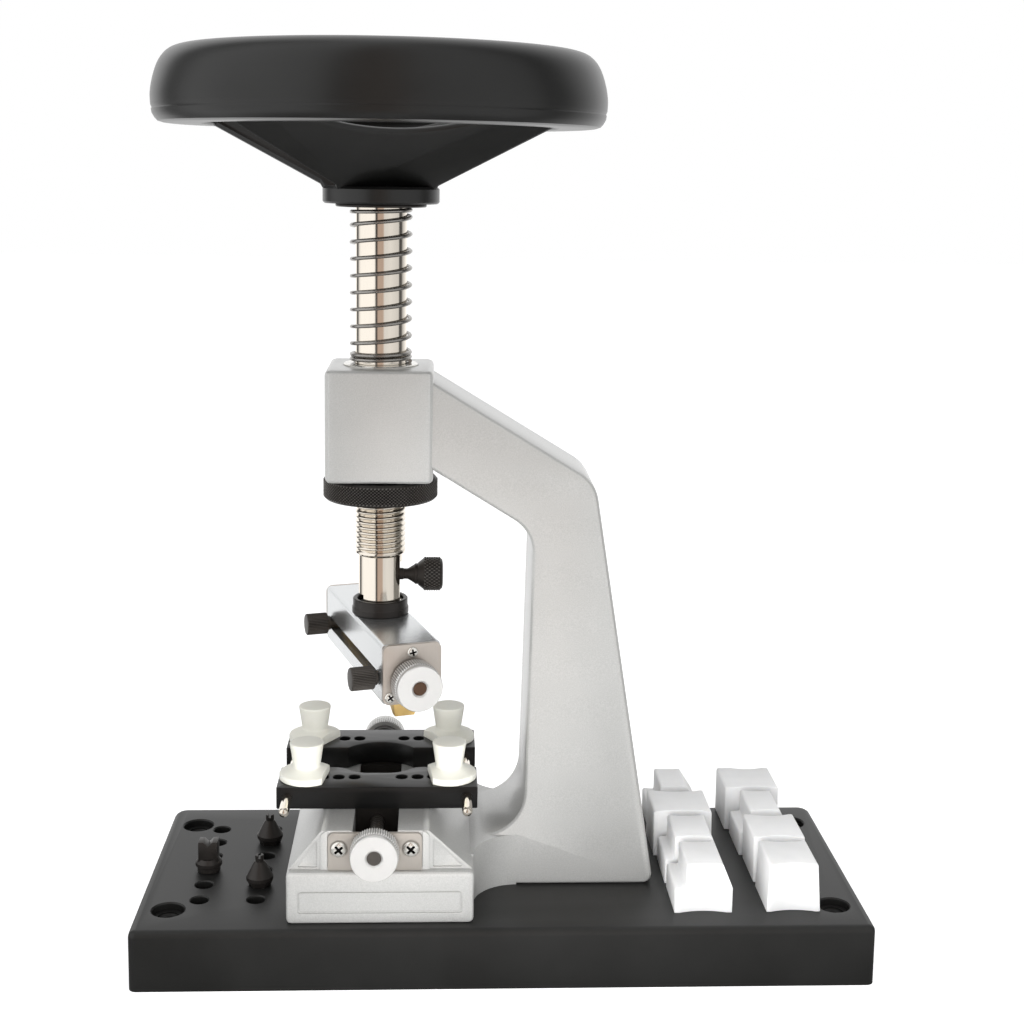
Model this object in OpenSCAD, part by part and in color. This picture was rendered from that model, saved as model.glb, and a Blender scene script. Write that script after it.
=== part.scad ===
// Bench watch case opener: a cast frame on a moulded base, a sprung spindle
// with a handwheel and a two-jaw turning head, and a screw vise below it.
// Millimetres, +Z up, the operator stands on the -Y side.

/* [Base] */
// Width of the base
base_w = 240; // [220:1:260]
// Depth of the base
base_d = 100; // [96:1:110]
// Thickness of the base
base_t = 20; // [18:0.5:24]
// Radius of the base's two front corners
base_corner_front = 2.6; // [2.4:0.1:6]
// Radius of the base's two rear corners
base_corner_rear = 4.6; // [2.4:0.1:8]
// Bevel along the base's top edge
base_bevel = 2; // [1:0.25:2.25]
// Bench screw holes, distance from the middle along the width
bench_hole_x = 109.5; // [100:0.5:112]
// Bench screw holes, distance from the middle along the depth
bench_hole_y = 34; // [28:0.5:38]
// Diameter of the recess for a bench screw's head
bench_head_d = 10.6; // [9:0.1:12]
// Depth of that recess
bench_head_h = 2.6; // [1.5:0.1:6]
// Diameter of the bench screw hole
bench_hole_d = 5.2; // [4:0.1:6]

/* [Die rack] */
// Diameter of a die hole
die_hole_d = 6; // [5:0.1:7]
// Depth of a die hole
die_hole_depth = 12; // [8:0.5:15]
// Place of the left column of die holes
die_column_a = -100.4; // [-103:0.1:-96]
// Place of the right column of die holes
die_column_b = -81.8; // [-86:0.1:-78]
// Place of the front row of die holes
die_row_first = -27; // [-30:0.5:-24]
// Distance from row to row of die holes
die_row_pitch = 11.4; // [10:0.1:12]

/* [Spindle line] */
// Place of the spindle and vise along the width
axis_x = -42; // [-45:0.1:-38]
// Place of the spindle and of the vise's middle along the depth
axis_y = 3; // [0:0.1:5]
// Diameter of the spindle
spindle_d = 17.2; // [16:0.1:18]
// Diameter of the spindle's lower shank
shank_d = 14.9; // [13:0.1:16]
// Running clearance on the radius of every shaft
run_gap = 0.05; // [0.03:0.01:0.08]
// Travel of the spindle
press_travel = 12.5; // [8:0.5:14]

/* [Casting] */
// Width of the vise bed
bed_w = 60.2; // [56:0.1:64]
// Height of the vise bed's lower block above the base
bed_block_h = 17.3; // [14:0.1:18]
// Height of the rails above the base
rail_h = 30.2; // [28:0.1:32]
// Width over the two rails
rail_w = 34; // [32:0.5:38]
// Width of the channel between the rails
channel_w = 14.5; // [13:0.1:16]
// Length of the vise bed
bed_len = 92; // [88:0.5:93]
// Width of the head block
head_w = 35.4; // [33:0.1:40]
// Depth of the head block
head_d = 36; // [30:0.5:40]
// Height of the head block's underside
head_z = 157.6; // [155:0.1:160]
// Height of the head block
head_h = 37.4; // [34:0.1:40]
// Depth of the upright at its foot
foot_d = 40.6; // [36:0.5:44]
// Depth of the arm at its top
arm_d = 32.6; // [26:0.5:34]

/* [Handwheel] */
// Outer radius of the rim
rim_r = 74.5; // [70:0.5:80]
// Height of the rim's underside
rim_z = 274.4; // [272:0.1:277]
// Height of the rim
rim_h = 23.1; // [20:0.1:26]
// Radial width of the rim
rim_w = 17; // [14:0.5:20]
// Diameter of the hub
hub_d = 38.4; // [36:0.1:42]
// Height of the hub's underside
hub_z = 248.4; // [247:0.1:250]
// Angle at which the two webs stand turned from the front
wheel_turned = 10; // [0:1:20]
// Thickness of a web
web_t = 3.2; // [2.6:0.1:4]

/* [Spring] */
// Diameter of the spring's wire
wire_d = 1.3; // [1:0.1:1.6]
// Middle radius of the spring
coil_r = 9.75; // [9.5:0.05:11]
// Turns that work
coil_turns = 8; // [6:1:9]

/* [Vise] */
// Length of a jaw
jaw_len = 66.4; // [60:0.2:70]
// Depth of a jaw
jaw_d = 18.5; // [16:0.1:20]
// Thickness of a jaw
jaw_t = 7.5; // [6:0.1:8]
// Gap between the jaws
jaw_gap = 18.2; // [12:0.1:20]
// Radius of the rounded seat between the jaws
jaw_seat_r = 14.6; // [12:0.1:16]
// Diameter of a peg hole
peg_hole_d = 4; // [3.5:0.1:5]
// Distance from peg hole to peg hole
peg_pitch = 5.3; // [5:0.1:5.6]
// Height of the vise screw's axis
vise_screw_z = 45; // [44:0.1:46]

/* [Turning head] */
// Angle of the turning head about the spindle
head_yaw = 17; // [0:1:40]
// Length of the turning head's body
tool_len = 76; // [70:0.5:78]
// Width of the body
tool_w = 19.4; // [18:0.1:21]
// Height of the body
tool_h = 19.6; // [18:0.1:21]
// Height of the body's top
tool_top = 109.8; // [108:0.1:110]
// Distance of each brass jaw from the spindle axis
jaw_out = 28.2; // [16:0.1:28.2]

/* [Case blocks] */
// Place of the left column's middle
block_column_a = 65.2; // [62:0.1:67]
// Place of the right column's middle
block_column_b = 95; // [92:0.1:97]
// Front of the front row
block_row_first = -39; // [-41:0.5:-36]
// Distance from row to row
block_row_pitch = 22.2; // [21:0.1:22.5]
// Depth of a block
block_d = 19.5; // [16:0.1:20]

/* [Hidden] */
$fn = 48;
eps = 0.01;

black_plastic = "#2b2b2b";
cast_silver = "#b9b9b7";
nickel = "#cfc8bc";
steel = "#a9a49c";
bright_alloy = "#dcdcdc";
black_oxide = "#262422";
nylon = "#efeee9";
brass = "#c9a25a";

// Heights that follow from the base
rail_z = base_t + rail_h;
block_z = base_t + bed_block_h;
jaw_z = rail_z + 0.1;
bed_front = axis_y - bed_len / 2;
bed_rear = axis_y + bed_len / 2;
// The lower block's front stands out below the end plate
block_front = bed_front - 2;
bed_left = axis_x - bed_w / 2 + 1.7;
bed_right = bed_left + bed_w;

// Outline of the arm and upright, seen from the front: points and corner radii
arm_slope = 0.61;
upright_inner_x = 9;
head_right = axis_x + head_w / 2;
arm_top_z = 191.2;
arm_low_z = 163.2;
upright_lean = 0.16;
foot_x = 51.6;
outer_corner_x = (foot_x - upright_lean * (arm_top_z + arm_slope * head_right - base_t)) / (1 - upright_lean * arm_slope);
web_z = 37.6;
arm_outline = [
    [[head_right - 3, arm_top_z + 3 * arm_slope], 0],
    [[head_right - 3, arm_low_z + 3 * arm_slope], 0],
    [[upright_inner_x, arm_low_z - arm_slope * (upright_inner_x - head_right)], 12.6],
    [[upright_inner_x, web_z], 15],
    [[bed_right - 8, web_z], 0],
    [[bed_right - 8, base_t], 0],
    [[foot_x, base_t], 3],
    [[outer_corner_x, arm_top_z - arm_slope * (outer_corner_x - head_right)], 13]];

// Plain helpers
function unit(v) = v / norm(v);
function corner_arc(p, q, s, r, n) =
    r == 0 ? [q] :
    let (a = unit(p - q), b = unit(s - q), half = acos(a * b) / 2,
        c = q + unit(a + b) * r / sin(half),
        u = q + a * r / tan(half) - c, v = q + b * r / tan(half) - c,
        from = atan2(u[1], u[0]), turn = atan2(v[1], v[0]) - from,
        sweep = turn > 180 ? turn - 360 : turn < -180 ? turn + 360 : turn)
    [for (i = [0:n]) c + r * [cos(from + sweep * i / n), sin(from + sweep * i / n)]];
function rounded_outline(list, n = 8) = [for (i = [0:len(list) - 1])
    each corner_arc(list[(i + len(list) - 1) % len(list)][0], list[i][0],
        list[(i + 1) % len(list)][0], list[i][1], n)];
function box_outline(w, h, r) = rounded_outline(
    [for (s = [[-1, -1], [1, -1], [1, 1], [-1, 1]]) [[s[0] * w / 2, s[1] * h / 2], r]], 5);

// An outline in X and Z, made solid from y0 to y1
module along_y(y0, y1) {
    translate([0, y1, 0]) rotate([90, 0, 0]) linear_extrude(y1 - y0) children();
}
module at_axis() { translate([axis_x, axis_y, 0]) children(); }
// The turning head's own frame: +X to its front end, along the body
module head_frame() { at_axis() rotate([0, 0, head_yaw - 90]) children(); }
// A pan head on its shank
module pan_screw(head_d, head_h, shank, len) {
    cylinder(d1 = head_d, d2 = head_d * 0.7, h = head_h);
    translate([0, 0, -len]) cylinder(d = shank, h = len + eps);
}
// A knurled hand knob along +Z, with a plain disc as its outer face
module hand_knob(d, h, bore) {
    difference() {
        union() {
            cylinder(d = d, h = h - 3);
            translate([0, 0, h - 3 - eps]) cylinder(d1 = d, d2 = d * 0.9, h = 0.6);
            translate([0, 0, h - 2.4 - 2 * eps]) cylinder(d = d * 0.96, h = 2.4);
        }
        translate([0, 0, -1]) cylinder(d = bore, h = h + 2);
    }
}

// ---- Base and casting

module die_holes() {
    for (x = [die_column_a, die_column_b], i = [0:5])
        translate([x, die_row_first + i * die_row_pitch, base_t - die_hole_depth])
            cylinder(d = die_hole_d, h = die_hole_depth + 1);
}
base_screw_places = [[-24, -32], [24, -32], [-24, 34], [24, 34]];
module base_plate() {
    color(black_plastic) difference() {
        hull() for (x = [-1, 1], end = [[-1, base_corner_front], [1, base_corner_rear]])
            translate([x * (base_w / 2 - end[1]), end[0] * (base_d / 2 - end[1]), 0]) {
                cylinder(r = end[1] - 1.4, h = 1.4, $fn = 32);
                translate([0, 0, 1.4]) cylinder(r = end[1], h = base_t - base_bevel - 1.4, $fn = 32);
                cylinder(r = end[1] - base_bevel, h = base_t, $fn = 32);
            }
        for (x = [-1, 1], y = [-1, 1]) translate([x * bench_hole_x, y * bench_hole_y, 0]) {
            translate([0, 0, -1]) cylinder(d = bench_hole_d, h = base_t + 2);
            translate([0, 0, base_t - bench_head_h]) cylinder(d = bench_head_d, h = base_t);
            translate([0, 0, base_t - bench_head_h - 0.8]) cylinder(d = 7.4, h = base_t);
        }
        die_holes();
        for (p = base_screw_places) translate([axis_x + p[0], axis_y + p[1], 0]) {
            translate([0, 0, -1]) cylinder(d = 5.2, h = base_t + 2);
            translate([0, 0, -1]) cylinder(d = 9.6, h = 7);
        }
    }
}
module base_screws() {
    color(black_oxide) for (p = base_screw_places)
        translate([axis_x + p[0], axis_y + p[1], 1]) {
            difference() {
                cylinder(d = 9, h = 5);
                translate([0, 0, -1]) cylinder(d = 4.6, h = 3.5, $fn = 6);
            }
            translate([0, 0, 5 - eps]) cylinder(d = 5, h = 24);
        }
}
module bed_profile() {
    half = rail_w / 2;
    polygon([[bed_left, base_t], [bed_right, base_t], [bed_right, block_z - 0.6],
        [bed_right - 0.6, block_z], [axis_x + half + 0.4, rail_z - 0.4], [axis_x + half - 0.6, rail_z],
        [axis_x - half + 0.6, rail_z], [axis_x - half - 0.4, rail_z - 0.4], [bed_left + 0.6, block_z],
        [bed_left, block_z - 0.6]]);
}
module name_panel() {
    // A shallow bordered recess in the front face, left bare
    translate([(bed_left + bed_right) / 2, block_front - eps, base_t + 7.4])
        rotate([-90, 0, 0]) difference() {
            linear_extrude(0.5) polygon(box_outline(53, 7.8, 1));
            translate([0, 0, -1]) linear_extrude(3) polygon(box_outline(51.8, 6.6, 0.6));
        }
}
module vise_bed() {
    difference() {
        along_y(bed_front + 1.6, bed_rear - 1.6) bed_profile();
        translate([axis_x - channel_w / 2, bed_front - 1, rail_z - 12])
            cube([channel_w, bed_len + 2, 13]);
    }
    // The lower block stands proud of the sloping part at both ends
    difference() {
        translate([bed_left, block_front, base_t]) cube([bed_w, bed_rear - block_front, bed_block_h]);
        translate([bed_left - 1, bed_front + 1.6, block_z - 1])
            cube([bed_w + 2, bed_len - 3.2, 3]);
        name_panel();
    }
    // A boss at each end, open for the screw, carries the end plate
    for (end = [[bed_front + 1.4, bed_front + 7], [bed_rear - 7, bed_rear - 1.4]]) difference() {
        along_y(end[0], end[1]) translate([axis_x, 0]) polygon(rounded_outline([
            [[-17.5, block_z - 1], 0], [[17.5, block_z - 1], 0],
            [[17.5, rail_z - 0.2], 2], [[-17.5, rail_z - 0.2], 2]], 5));
        translate([axis_x - channel_w / 2, end[0] - 1, rail_z - 12]) cube([channel_w, 8, 13]);
    }
}
module arm_and_upright() {
    top = arm_top_z + 5;
    taper = (foot_d - arm_d) / 2;
    intersection() {
        along_y(axis_y - foot_d, axis_y + foot_d) polygon(rounded_outline(arm_outline));
        translate([-120, axis_y, 0]) rotate([90, 0, 90]) linear_extrude(240)
            polygon([[-foot_d / 2, base_t], [foot_d / 2, base_t],
                [foot_d / 2 - taper, top], [-foot_d / 2 + taper, top]]);
    }
}
module foot_blend() {
    // A hollow curve sweeps the upright's front and back faces into the bed's side
    x = bed_right;
    r = 9;
    for (side = [-1, 1]) translate([x, axis_y + side * foot_d / 2, base_t])
        scale([1, side, 1]) linear_extrude(bed_block_h + 0.4) polygon(concat(
            [[-2, -2], [-2, r]],
            [for (i = [0:8]) [r - r * cos(i * 11.25), r - r * sin(i * 11.25)]],
            [[r, -2]]));
}
module head_block() {
    r = 2.4;
    translate([axis_x, axis_y, head_z + head_h / 2]) intersection() {
        translate([0, 0, -head_h]) linear_extrude(2 * head_h) polygon(box_outline(head_w, head_d, r));
        rotate([90, 0, 0]) translate([0, 0, -head_h]) linear_extrude(2 * head_h)
            polygon(box_outline(head_w, head_h, r));
        rotate([90, 0, 90]) translate([0, 0, -head_h]) linear_extrude(2 * head_h)
            polygon(box_outline(head_d, head_h, r));
    }
}
module frame_casting() {
    color(cast_silver) difference() {
        union() {
            vise_bed();
            arm_and_upright();
            foot_blend();
            head_block();
        }
        at_axis() translate([0, 0, head_z - 1]) cylinder(d = 22.1, h = head_h + 2);
        at_axis() translate([0, 0, head_z + head_h - 1.4]) cylinder(d = 24.9, h = 3);
        for (p = base_screw_places) translate([axis_x + p[0], axis_y + p[1], base_t - 1])
            cylinder(d = 5.1, h = 11.5);
        for (y = [bed_front, bed_rear - 12], x = [-11.5, 11.5])
            translate([axis_x + x, y, rail_z - 5.5]) rotate([-90, 0, 0]) cylinder(d = 2.5, h = 12);
    }
}
module spindle_bush() {
    color(steel) at_axis() difference() {
        union() {
            translate([0, 0, head_z]) cylinder(d = 22, h = head_h + 0.6);
            translate([0, 0, head_z + head_h - 1.4]) cylinder(d = 24.8, h = 2);
        }
        translate([0, 0, head_z - 1]) cylinder(d = spindle_d + 2 * run_gap, h = head_h + 4);
    }
}

// ---- Spindle, handwheel and spring

bush_top = head_z + head_h + 0.6;
washer_t = 1;
module spindle_shaft() {
    color(nickel) at_axis() difference() {
        union() {
            translate([0, 0, 130.7]) cylinder(d = spindle_d, h = 127.3);
            translate([0, 0, 113.4]) cylinder(d = shank_d, h = 18);
            translate([0, 0, 258 - eps]) cylinder(d = 12, h = 4.9);
        }
        // The socket of the turning head and the hole of its thumb screw
        translate([0, 0, 112]) cylinder(d = 9, h = 15);
        translate([0, 0, 123.2]) rotate([0, 90, 0]) cylinder(d = 4.1, h = 12);
        translate([shank_d / 2 - 0.8, -6, 114]) cube([4, 12, 14]);
        translate([0, 0, 254]) cylinder(d = 6, h = 20);
    }
}
module spring_washer() {
    color(black_oxide) at_axis() translate([0, 0, hub_z - 0.1 - washer_t]) difference() {
        cylinder(d = 30, h = washer_t);
        translate([0, 0, -1]) cylinder(d = spindle_d + 2 * run_gap, h = washer_t + 2);
    }
}
rim_outer = [[rim_r - 4, 0], [rim_r - 1.6, 0.9], [rim_r - 0.6, 3.4], [rim_r - 0.9, 4],
    [rim_r - 0.1, 4.6], [rim_r, 8], [rim_r - 0.6, 12], [rim_r - 1.9, 16.4],
    [rim_r - 3.6, 19.6], [rim_r - 6, 21.9], [rim_r - 9, rim_h]];
rim_inner = [[rim_r - rim_w + 3, rim_h - 0.6], [rim_r - rim_w + 0.8, rim_h - 3],
    [rim_r - rim_w, rim_h - 7], [rim_r - rim_w, 4], [rim_r - rim_w + 1, 0]];
module web() {
    // A flat web leans out from the hub; its ends run into the rim and its
    // hollow top edge leaves a crescent open
    tilt = 49.6;
    intersection() {
        translate([0, -12, hub_z + 5.6]) rotate([180 - tilt, 0, 0]) translate([0, 0, -web_t])
            linear_extrude(web_t) difference() {
                polygon([[-13.5, -4], [13.5, -4], [15, 0], [52, 27.2], [62, 46], [-62, 46],
                    [-52, 27.2], [-15, 0]]);
                translate([0, 97.9]) circle(r = 75.6, $fn = 96);
            }
        translate([0, 0, hub_z]) cylinder(r = rim_r - rim_w + 3, h = 44, $fn = 96);
    }
}
module handwheel() {
    color(black_plastic) at_axis() difference() {
        union() {
            translate([0, 0, rim_z]) rotate_extrude($fn = 128) polygon(concat(rim_outer, rim_inner));
            for (a = [0, 180]) rotate([0, 0, wheel_turned + a]) web();
            translate([0, 0, hub_z]) cylinder(d = hub_d, h = 5.6);
            translate([0, 0, hub_z + 5]) cylinder(d = 22.8, h = 10);
        }
        translate([0, 0, hub_z - 1]) cylinder(d = spindle_d + 0.04, h = 10.6);
        translate([0, 0, hub_z + 9]) cylinder(d = 12.04, h = 5);
        translate([0, 0, hub_z + 12.6]) cylinder(d = 18, h = 4);
    }
}
module wheel_cap() {
    color(black_oxide) at_axis() translate([0, 0, hub_z + 12.6]) difference() {
        cylinder(d = 17.9, h = 2);
        translate([0, 0, -1]) cylinder(d = 12.04, h = 6);
    }
}
module wheel_bolt() {
    color(steel) at_axis() difference() {
        union() {
            translate([0, 0, 263]) cylinder(d = 13, h = 6);
            translate([0, 0, 255]) cylinder(d = 5.9, h = 8 + eps);
        }
        translate([0, 0, 266]) cylinder(d = 7, h = 4, $fn = 6);
    }
}
module stop_ring() {
    color(black_oxide) at_axis() translate([0, 0, 149.9]) difference() {
        union() {
            cylinder(d1 = 37.2, d2 = 38.6, h = 0.8);
            translate([0, 0, 0.8 - eps]) cylinder(d = 38.6, h = 5.6);
            translate([0, 0, 6.4 - 2 * eps]) cylinder(d1 = 38.6, d2 = 36.6, h = 0.9);
        }
        translate([0, 0, -1]) cylinder(d = spindle_d + 2 * run_gap, h = 10);
    }
}
module thumb_screw() {
    color(black_oxide) at_axis() translate([4.8, 0, 123.2]) rotate([0, 90, 0]) {
        cylinder(d = 4, h = 3);
        translate([0, 0, 3 - eps]) cylinder(d = 3.6, h = 1.6);
        translate([0, 0, 4.6 - 2 * eps]) cylinder(d1 = 3.6, d2 = 7.4, h = 2.8);
        translate([0, 0, 7.4 - 3 * eps]) cylinder(d1 = 7.4, d2 = 11.4, h = 2.8);
        translate([0, 0, 10.2 - 4 * eps]) cylinder(d = 11.6, h = 5.2);
        translate([0, 0, 15.4 - 5 * eps]) cylinder(d1 = 11.6, d2 = 8.8, h = 1.2);
    }
}

// The spring: close turns at both ends and open turns between them
spring_low = bush_top + wire_d / 2;
spring_high = hub_z - 0.1 - washer_t - wire_d / 2;
close_turns = 1.25;
close_rise = (wire_d + 0.55) * close_turns;
rings_per_turn = 14;
spring_turns = coil_turns + 2 * close_turns;
spring_rings = round(spring_turns * rings_per_turn);
function coil_height(t) =
    t < close_turns ? spring_low + close_rise * t / close_turns :
    t > spring_turns - close_turns ? spring_high - close_rise * (spring_turns - t) / close_turns :
    spring_low + close_rise + (t - close_turns) / coil_turns * (spring_high - spring_low - 2 * close_rise);
function coil_point(t) = [coil_r * cos(360 * t), coil_r * sin(360 * t), coil_height(t)];
coil_body = [for (i = [0:spring_rings]) coil_point(i / rings_per_turn)];
// Each end runs on straight for one wire diameter
lead_in = coil_body[0] + wire_d * [0, -1, 0];
lead_out = coil_body[spring_rings] + wire_d * unit(cross([0, 0, 1], [coil_body[spring_rings][0], coil_body[spring_rings][1], 0]));
coil_path = concat([lead_in], coil_body, [lead_out]);
wire_sides = 6;
function ring_at(path, i) =
    let (last = len(path) - 1, along = unit(path[min(i + 1, last)] - path[max(i - 1, 0)]),
        out = unit([path[i][0], path[i][1], 0]), up = unit(cross(out, along)), side = cross(along, up))
    [for (k = [0:wire_sides - 1]) path[i] + wire_d / 2
        * (side * cos(30 + 60 * k) + up * sin(30 + 60 * k))];
coil_gap = min([for (i = [0:spring_rings - rings_per_turn])
    norm(coil_body[i + rings_per_turn] - coil_body[i])]) - wire_d;
echo(least_gap_between_turns = coil_gap);
module return_spring() {
    count = len(coil_path);
    color(steel) at_axis() polyhedron(
        points = [for (i = [0:count - 1]) each ring_at(coil_path, i)],
        faces = concat(
            [for (i = [0:count - 2], k = [0:wire_sides - 1], half = [0, 1])
                let (a = i * wire_sides + k, b = i * wire_sides + (k + 1) % wire_sides)
                half == 0 ? [a, b, b + wire_sides] : [a, b + wire_sides, a + wire_sides]],
            [for (k = [1:wire_sides - 2]) [0, k + 1, k]],
            [for (k = [1:wire_sides - 2]) [(count - 1) * wire_sides, (count - 1) * wire_sides + k,
                (count - 1) * wire_sides + k + 1]]));
}

// ---- Turning head

tool_low = tool_top - tool_h;
tool_screw_z = 97.7;
channel = 11;
plate_t = 1.6;
module tool_shank() {
    color(black_oxide) at_axis() {
        translate([0, 0, tool_top]) cylinder(d = 19.2, h = 2.4);
        difference() {
            translate([0, 0, tool_top + 2.4 - eps]) cylinder(d = 18.6, h = 2.9);
            translate([0, 0, tool_top + 3.4]) cylinder(d = 15.6, h = 3);
        }
        // The spigot that stands in the shank, held by the thumb screw
        translate([0, 0, tool_top + 1]) cylinder(d = 9 - 2 * run_gap, h = 15.2);
    }
}
module tool_body() {
    color(cast_silver) head_frame() difference() {
        translate([-tool_len / 2, 0, tool_low + tool_h / 2]) rotate([90, 0, 90])
            linear_extrude(tool_len) polygon(box_outline(tool_w, tool_h, 1.2));
        // The channel in which the brass jaws slide, open below
        translate([-tool_len / 2 - 1, -channel / 2, tool_low - 1])
            cube([tool_len + 2, channel, 14.6]);
        // The slot in the left side through which the lock knobs reach the jaws
        translate([-34.4, -tool_w, tool_screw_z - 2]) cube([68.8, tool_w - 2, 4]);
        for (x = [-1, 1], p = [[0, tool_top - 2.6], [-7.4, tool_low + 2.6], [7.4, tool_low + 2.6]])
            translate([x * (tool_len / 2 - 6), p[0], p[1]]) rotate([0, 90, 0])
                cylinder(d = 1.9, h = 14, center = true);
    }
}
module tool_plate(side) {
    color(steel) head_frame() translate([side * (tool_len / 2 + plate_t / 2), 0, tool_low + tool_h / 2])
        rotate([90, 0, 90]) difference() {
            translate([0, 0, -plate_t / 2]) linear_extrude(plate_t) polygon(box_outline(tool_w, tool_h, 2));
            translate([0, tool_screw_z - tool_low - tool_h / 2, -2]) cylinder(d = 4.5, h = 4);
            for (p = [[0, tool_h / 2 - 2.6], [-7.4, 2.6 - tool_h / 2], [7.4, 2.6 - tool_h / 2]])
                translate([p[0], p[1], -2]) cylinder(d = 1.9, h = 4);
        }
}
module tool_plate_front() { tool_plate(1); }
module tool_plate_rear() { tool_plate(-1); }
module tool_plate_screws() {
    color(bright_alloy) head_frame() for (x = [-1, 1],
            p = [[0, tool_top - 2.6], [-7.4, tool_low + 2.6], [7.4, tool_low + 2.6]])
        translate([x * (tool_len / 2 + plate_t), p[0], p[1]]) rotate([0, x * 90, 0])
            pan_screw(3.6, 0.9, 1.8, 6);
}
module tool_screw() {
    color("#5a4636") head_frame() translate([-tool_len / 2 - plate_t, 0, tool_screw_z])
        rotate([0, 90, 0]) {
            cylinder(d = 4.4, h = tool_len + 2 * plate_t + 9);
            // A shoulder behind each plate keeps the screw from running out
            for (z = [plate_t + 0.2, tool_len + plate_t - 1.7]) translate([0, 0, z]) cylinder(d = 7.6, h = 1.5);
        }
}
module tool_knob() {
    color(bright_alloy) head_frame() translate([tool_len / 2 + plate_t + 1.4, 0, tool_screw_z])
        rotate([0, 90, 0]) hand_knob(15.6, 7.8, 4.44);
}
// Each lock knob stands near the outer end of its jaw
lock_shift = 4.4;
module brass_jaw(side) {
    color(brass) head_frame() translate([side * jaw_out, 0, 0]) difference() {
        union() {
            translate([-6, -channel / 2 + 0.1, tool_low + 1.5]) cube([12, channel - 0.2, 11.8]);
            // The lug that turns the case back narrows to a blade, from the side and from the end
            intersection() {
                translate([0, 5, tool_low + 2]) rotate([90, 0, 0])
                    linear_extrude(10) polygon([[-side * 4.5, 0], [side * 4.8, 0],
                        [side * 4.8, -4.4], [side * 2.6, -9.2], [-side * 0.2, -9.2], [-side * 4.5, -3]]);
                translate([-6, 0, tool_low + 2]) rotate([90, 0, 90])
                    linear_extrude(12) polygon([[-4.8, 0], [4.8, 0], [4.8, -2], [3.3, -9.2], [-3.3, -9.2], [-4.8, -2]]);
            }
        }
        translate([-8, 0, tool_screw_z]) rotate([0, 90, 0]) cylinder(d = 4.6, h = 16);
        translate([side * lock_shift, 0, tool_screw_z]) rotate([90, 0, 0]) cylinder(d = 3, h = 8);
    }
}
module brass_jaw_front() { brass_jaw(1); }
module brass_jaw_rear() { brass_jaw(-1); }
module lock_knob(side) {
    color(black_oxide) head_frame() translate([side * (jaw_out + lock_shift), 0, tool_screw_z]) rotate([90, 0, 0]) {
        translate([0, 0, 3]) cylinder(d = 2.9, h = tool_w / 2 + 0.4 - 3);
        translate([0, 0, tool_w / 2 + 0.3]) cylinder(d = 5, h = 1);
        translate([0, 0, tool_w / 2 + 1.3 - eps]) cylinder(d = 7.6, h = side > 0 ? 9 : 7.8);
    }
}
module lock_knob_front() { lock_knob(1); }
module lock_knob_rear() { lock_knob(-1); }

// ---- Vise

module vise_plate(y, side) {
    // Steel end plate: its top corners are round, the screw passes through
    color(steel) along_y(min(y, y + side * 1.8), max(y, y + side * 1.8)) translate([axis_x, 0])
        difference() {
            polygon(rounded_outline([[[-15.1, rail_z - 12.85], 0.4], [[15.1, rail_z - 12.85], 0.4],
                [[15.1, rail_z - 0.4], 1.6], [[-15.1, rail_z - 0.4], 1.6]], 5));
            translate([0, vise_screw_z]) circle(d = 4.7);
            for (x = [-11.5, 11.5]) translate([x, rail_z - 5.5]) circle(d = 2.5);
        }
}
module vise_plate_front() { vise_plate(bed_front + 1.4, -1); }
module vise_plate_rear() { vise_plate(bed_rear - 1.4, 1); }
module vise_plate_screws() {
    color(bright_alloy) for (x = [-11.5, 11.5]) {
        translate([axis_x + x, bed_front - 0.4, rail_z - 5.5]) rotate([90, 0, 0]) pan_screw(5.2, 1.2, 2.4, 9);
        translate([axis_x + x, bed_rear + 0.4, rail_z - 5.5]) rotate([-90, 0, 0]) pan_screw(5.2, 1.2, 2.4, 9);
    }
}
vise_knob_d = 15.8;
front_knob_y = bed_front - 2.4;
rear_knob_y = bed_rear + 5;
module vise_screw() {
    color("#3a332c") translate([axis_x, front_knob_y - 6.6, vise_screw_z]) rotate([-90, 0, 0]) {
        cylinder(d = 4.6, h = rear_knob_y + 6.4 - front_knob_y + 6.6);
        // Shoulders behind the two end plates
        for (y = [bed_front + 1.6, bed_rear - 3.4]) translate([0, 0, y - front_knob_y + 6.6])
            cylinder(d = 8.6, h = 1.8);
    }
}
module vise_knob_front() {
    color(bright_alloy) translate([axis_x, front_knob_y, vise_screw_z]) rotate([90, 0, 0])
        hand_knob(vise_knob_d, 6.8, 4.64);
}
module vise_knob_rear() {
    color(bright_alloy) translate([axis_x, rear_knob_y, vise_screw_z]) rotate([-90, 0, 0])
        hand_knob(vise_knob_d, 6.8, 4.64);
}
module vise_collar_rear() {
    color(black_oxide) translate([axis_x, bed_rear + 1, vise_screw_z]) rotate([-90, 0, 0])
        difference() {
            cylinder(d = 12.3, h = 3.8);
            translate([0, 0, -1]) cylinder(d = 4.64, h = 8);
        }
}
module vise_jaw(side) {
    y_in = jaw_gap / 2;
    color(black_oxide) at_axis() scale([1, side, 1]) translate([0, 0, jaw_z]) difference() {
        translate([-jaw_len / 2, y_in, 0]) cube([jaw_len, jaw_d, jaw_t]);
        translate([0, 0, -1]) cylinder(r = jaw_seat_r, h = jaw_t + 2, $fn = 96);
        for (s = [-1, 1], i = [0:3])
            translate([s * (7.9 + i * peg_pitch), y_in + jaw_d / 2, -1]) cylinder(d = peg_hole_d, h = jaw_t + 2);
        for (s = [-1, 1]) translate([s * 29.6, 0, jaw_t / 2]) rotate([-90, 0, 0])
            cylinder(d = side < 0 ? 3.5 : 3.4, h = side < 0 ? 60 : y_in + jaw_d - 2);
    }
}
module vise_jaw_front() { vise_jaw(-1); }
module vise_jaw_rear() { vise_jaw(1); }
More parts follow.
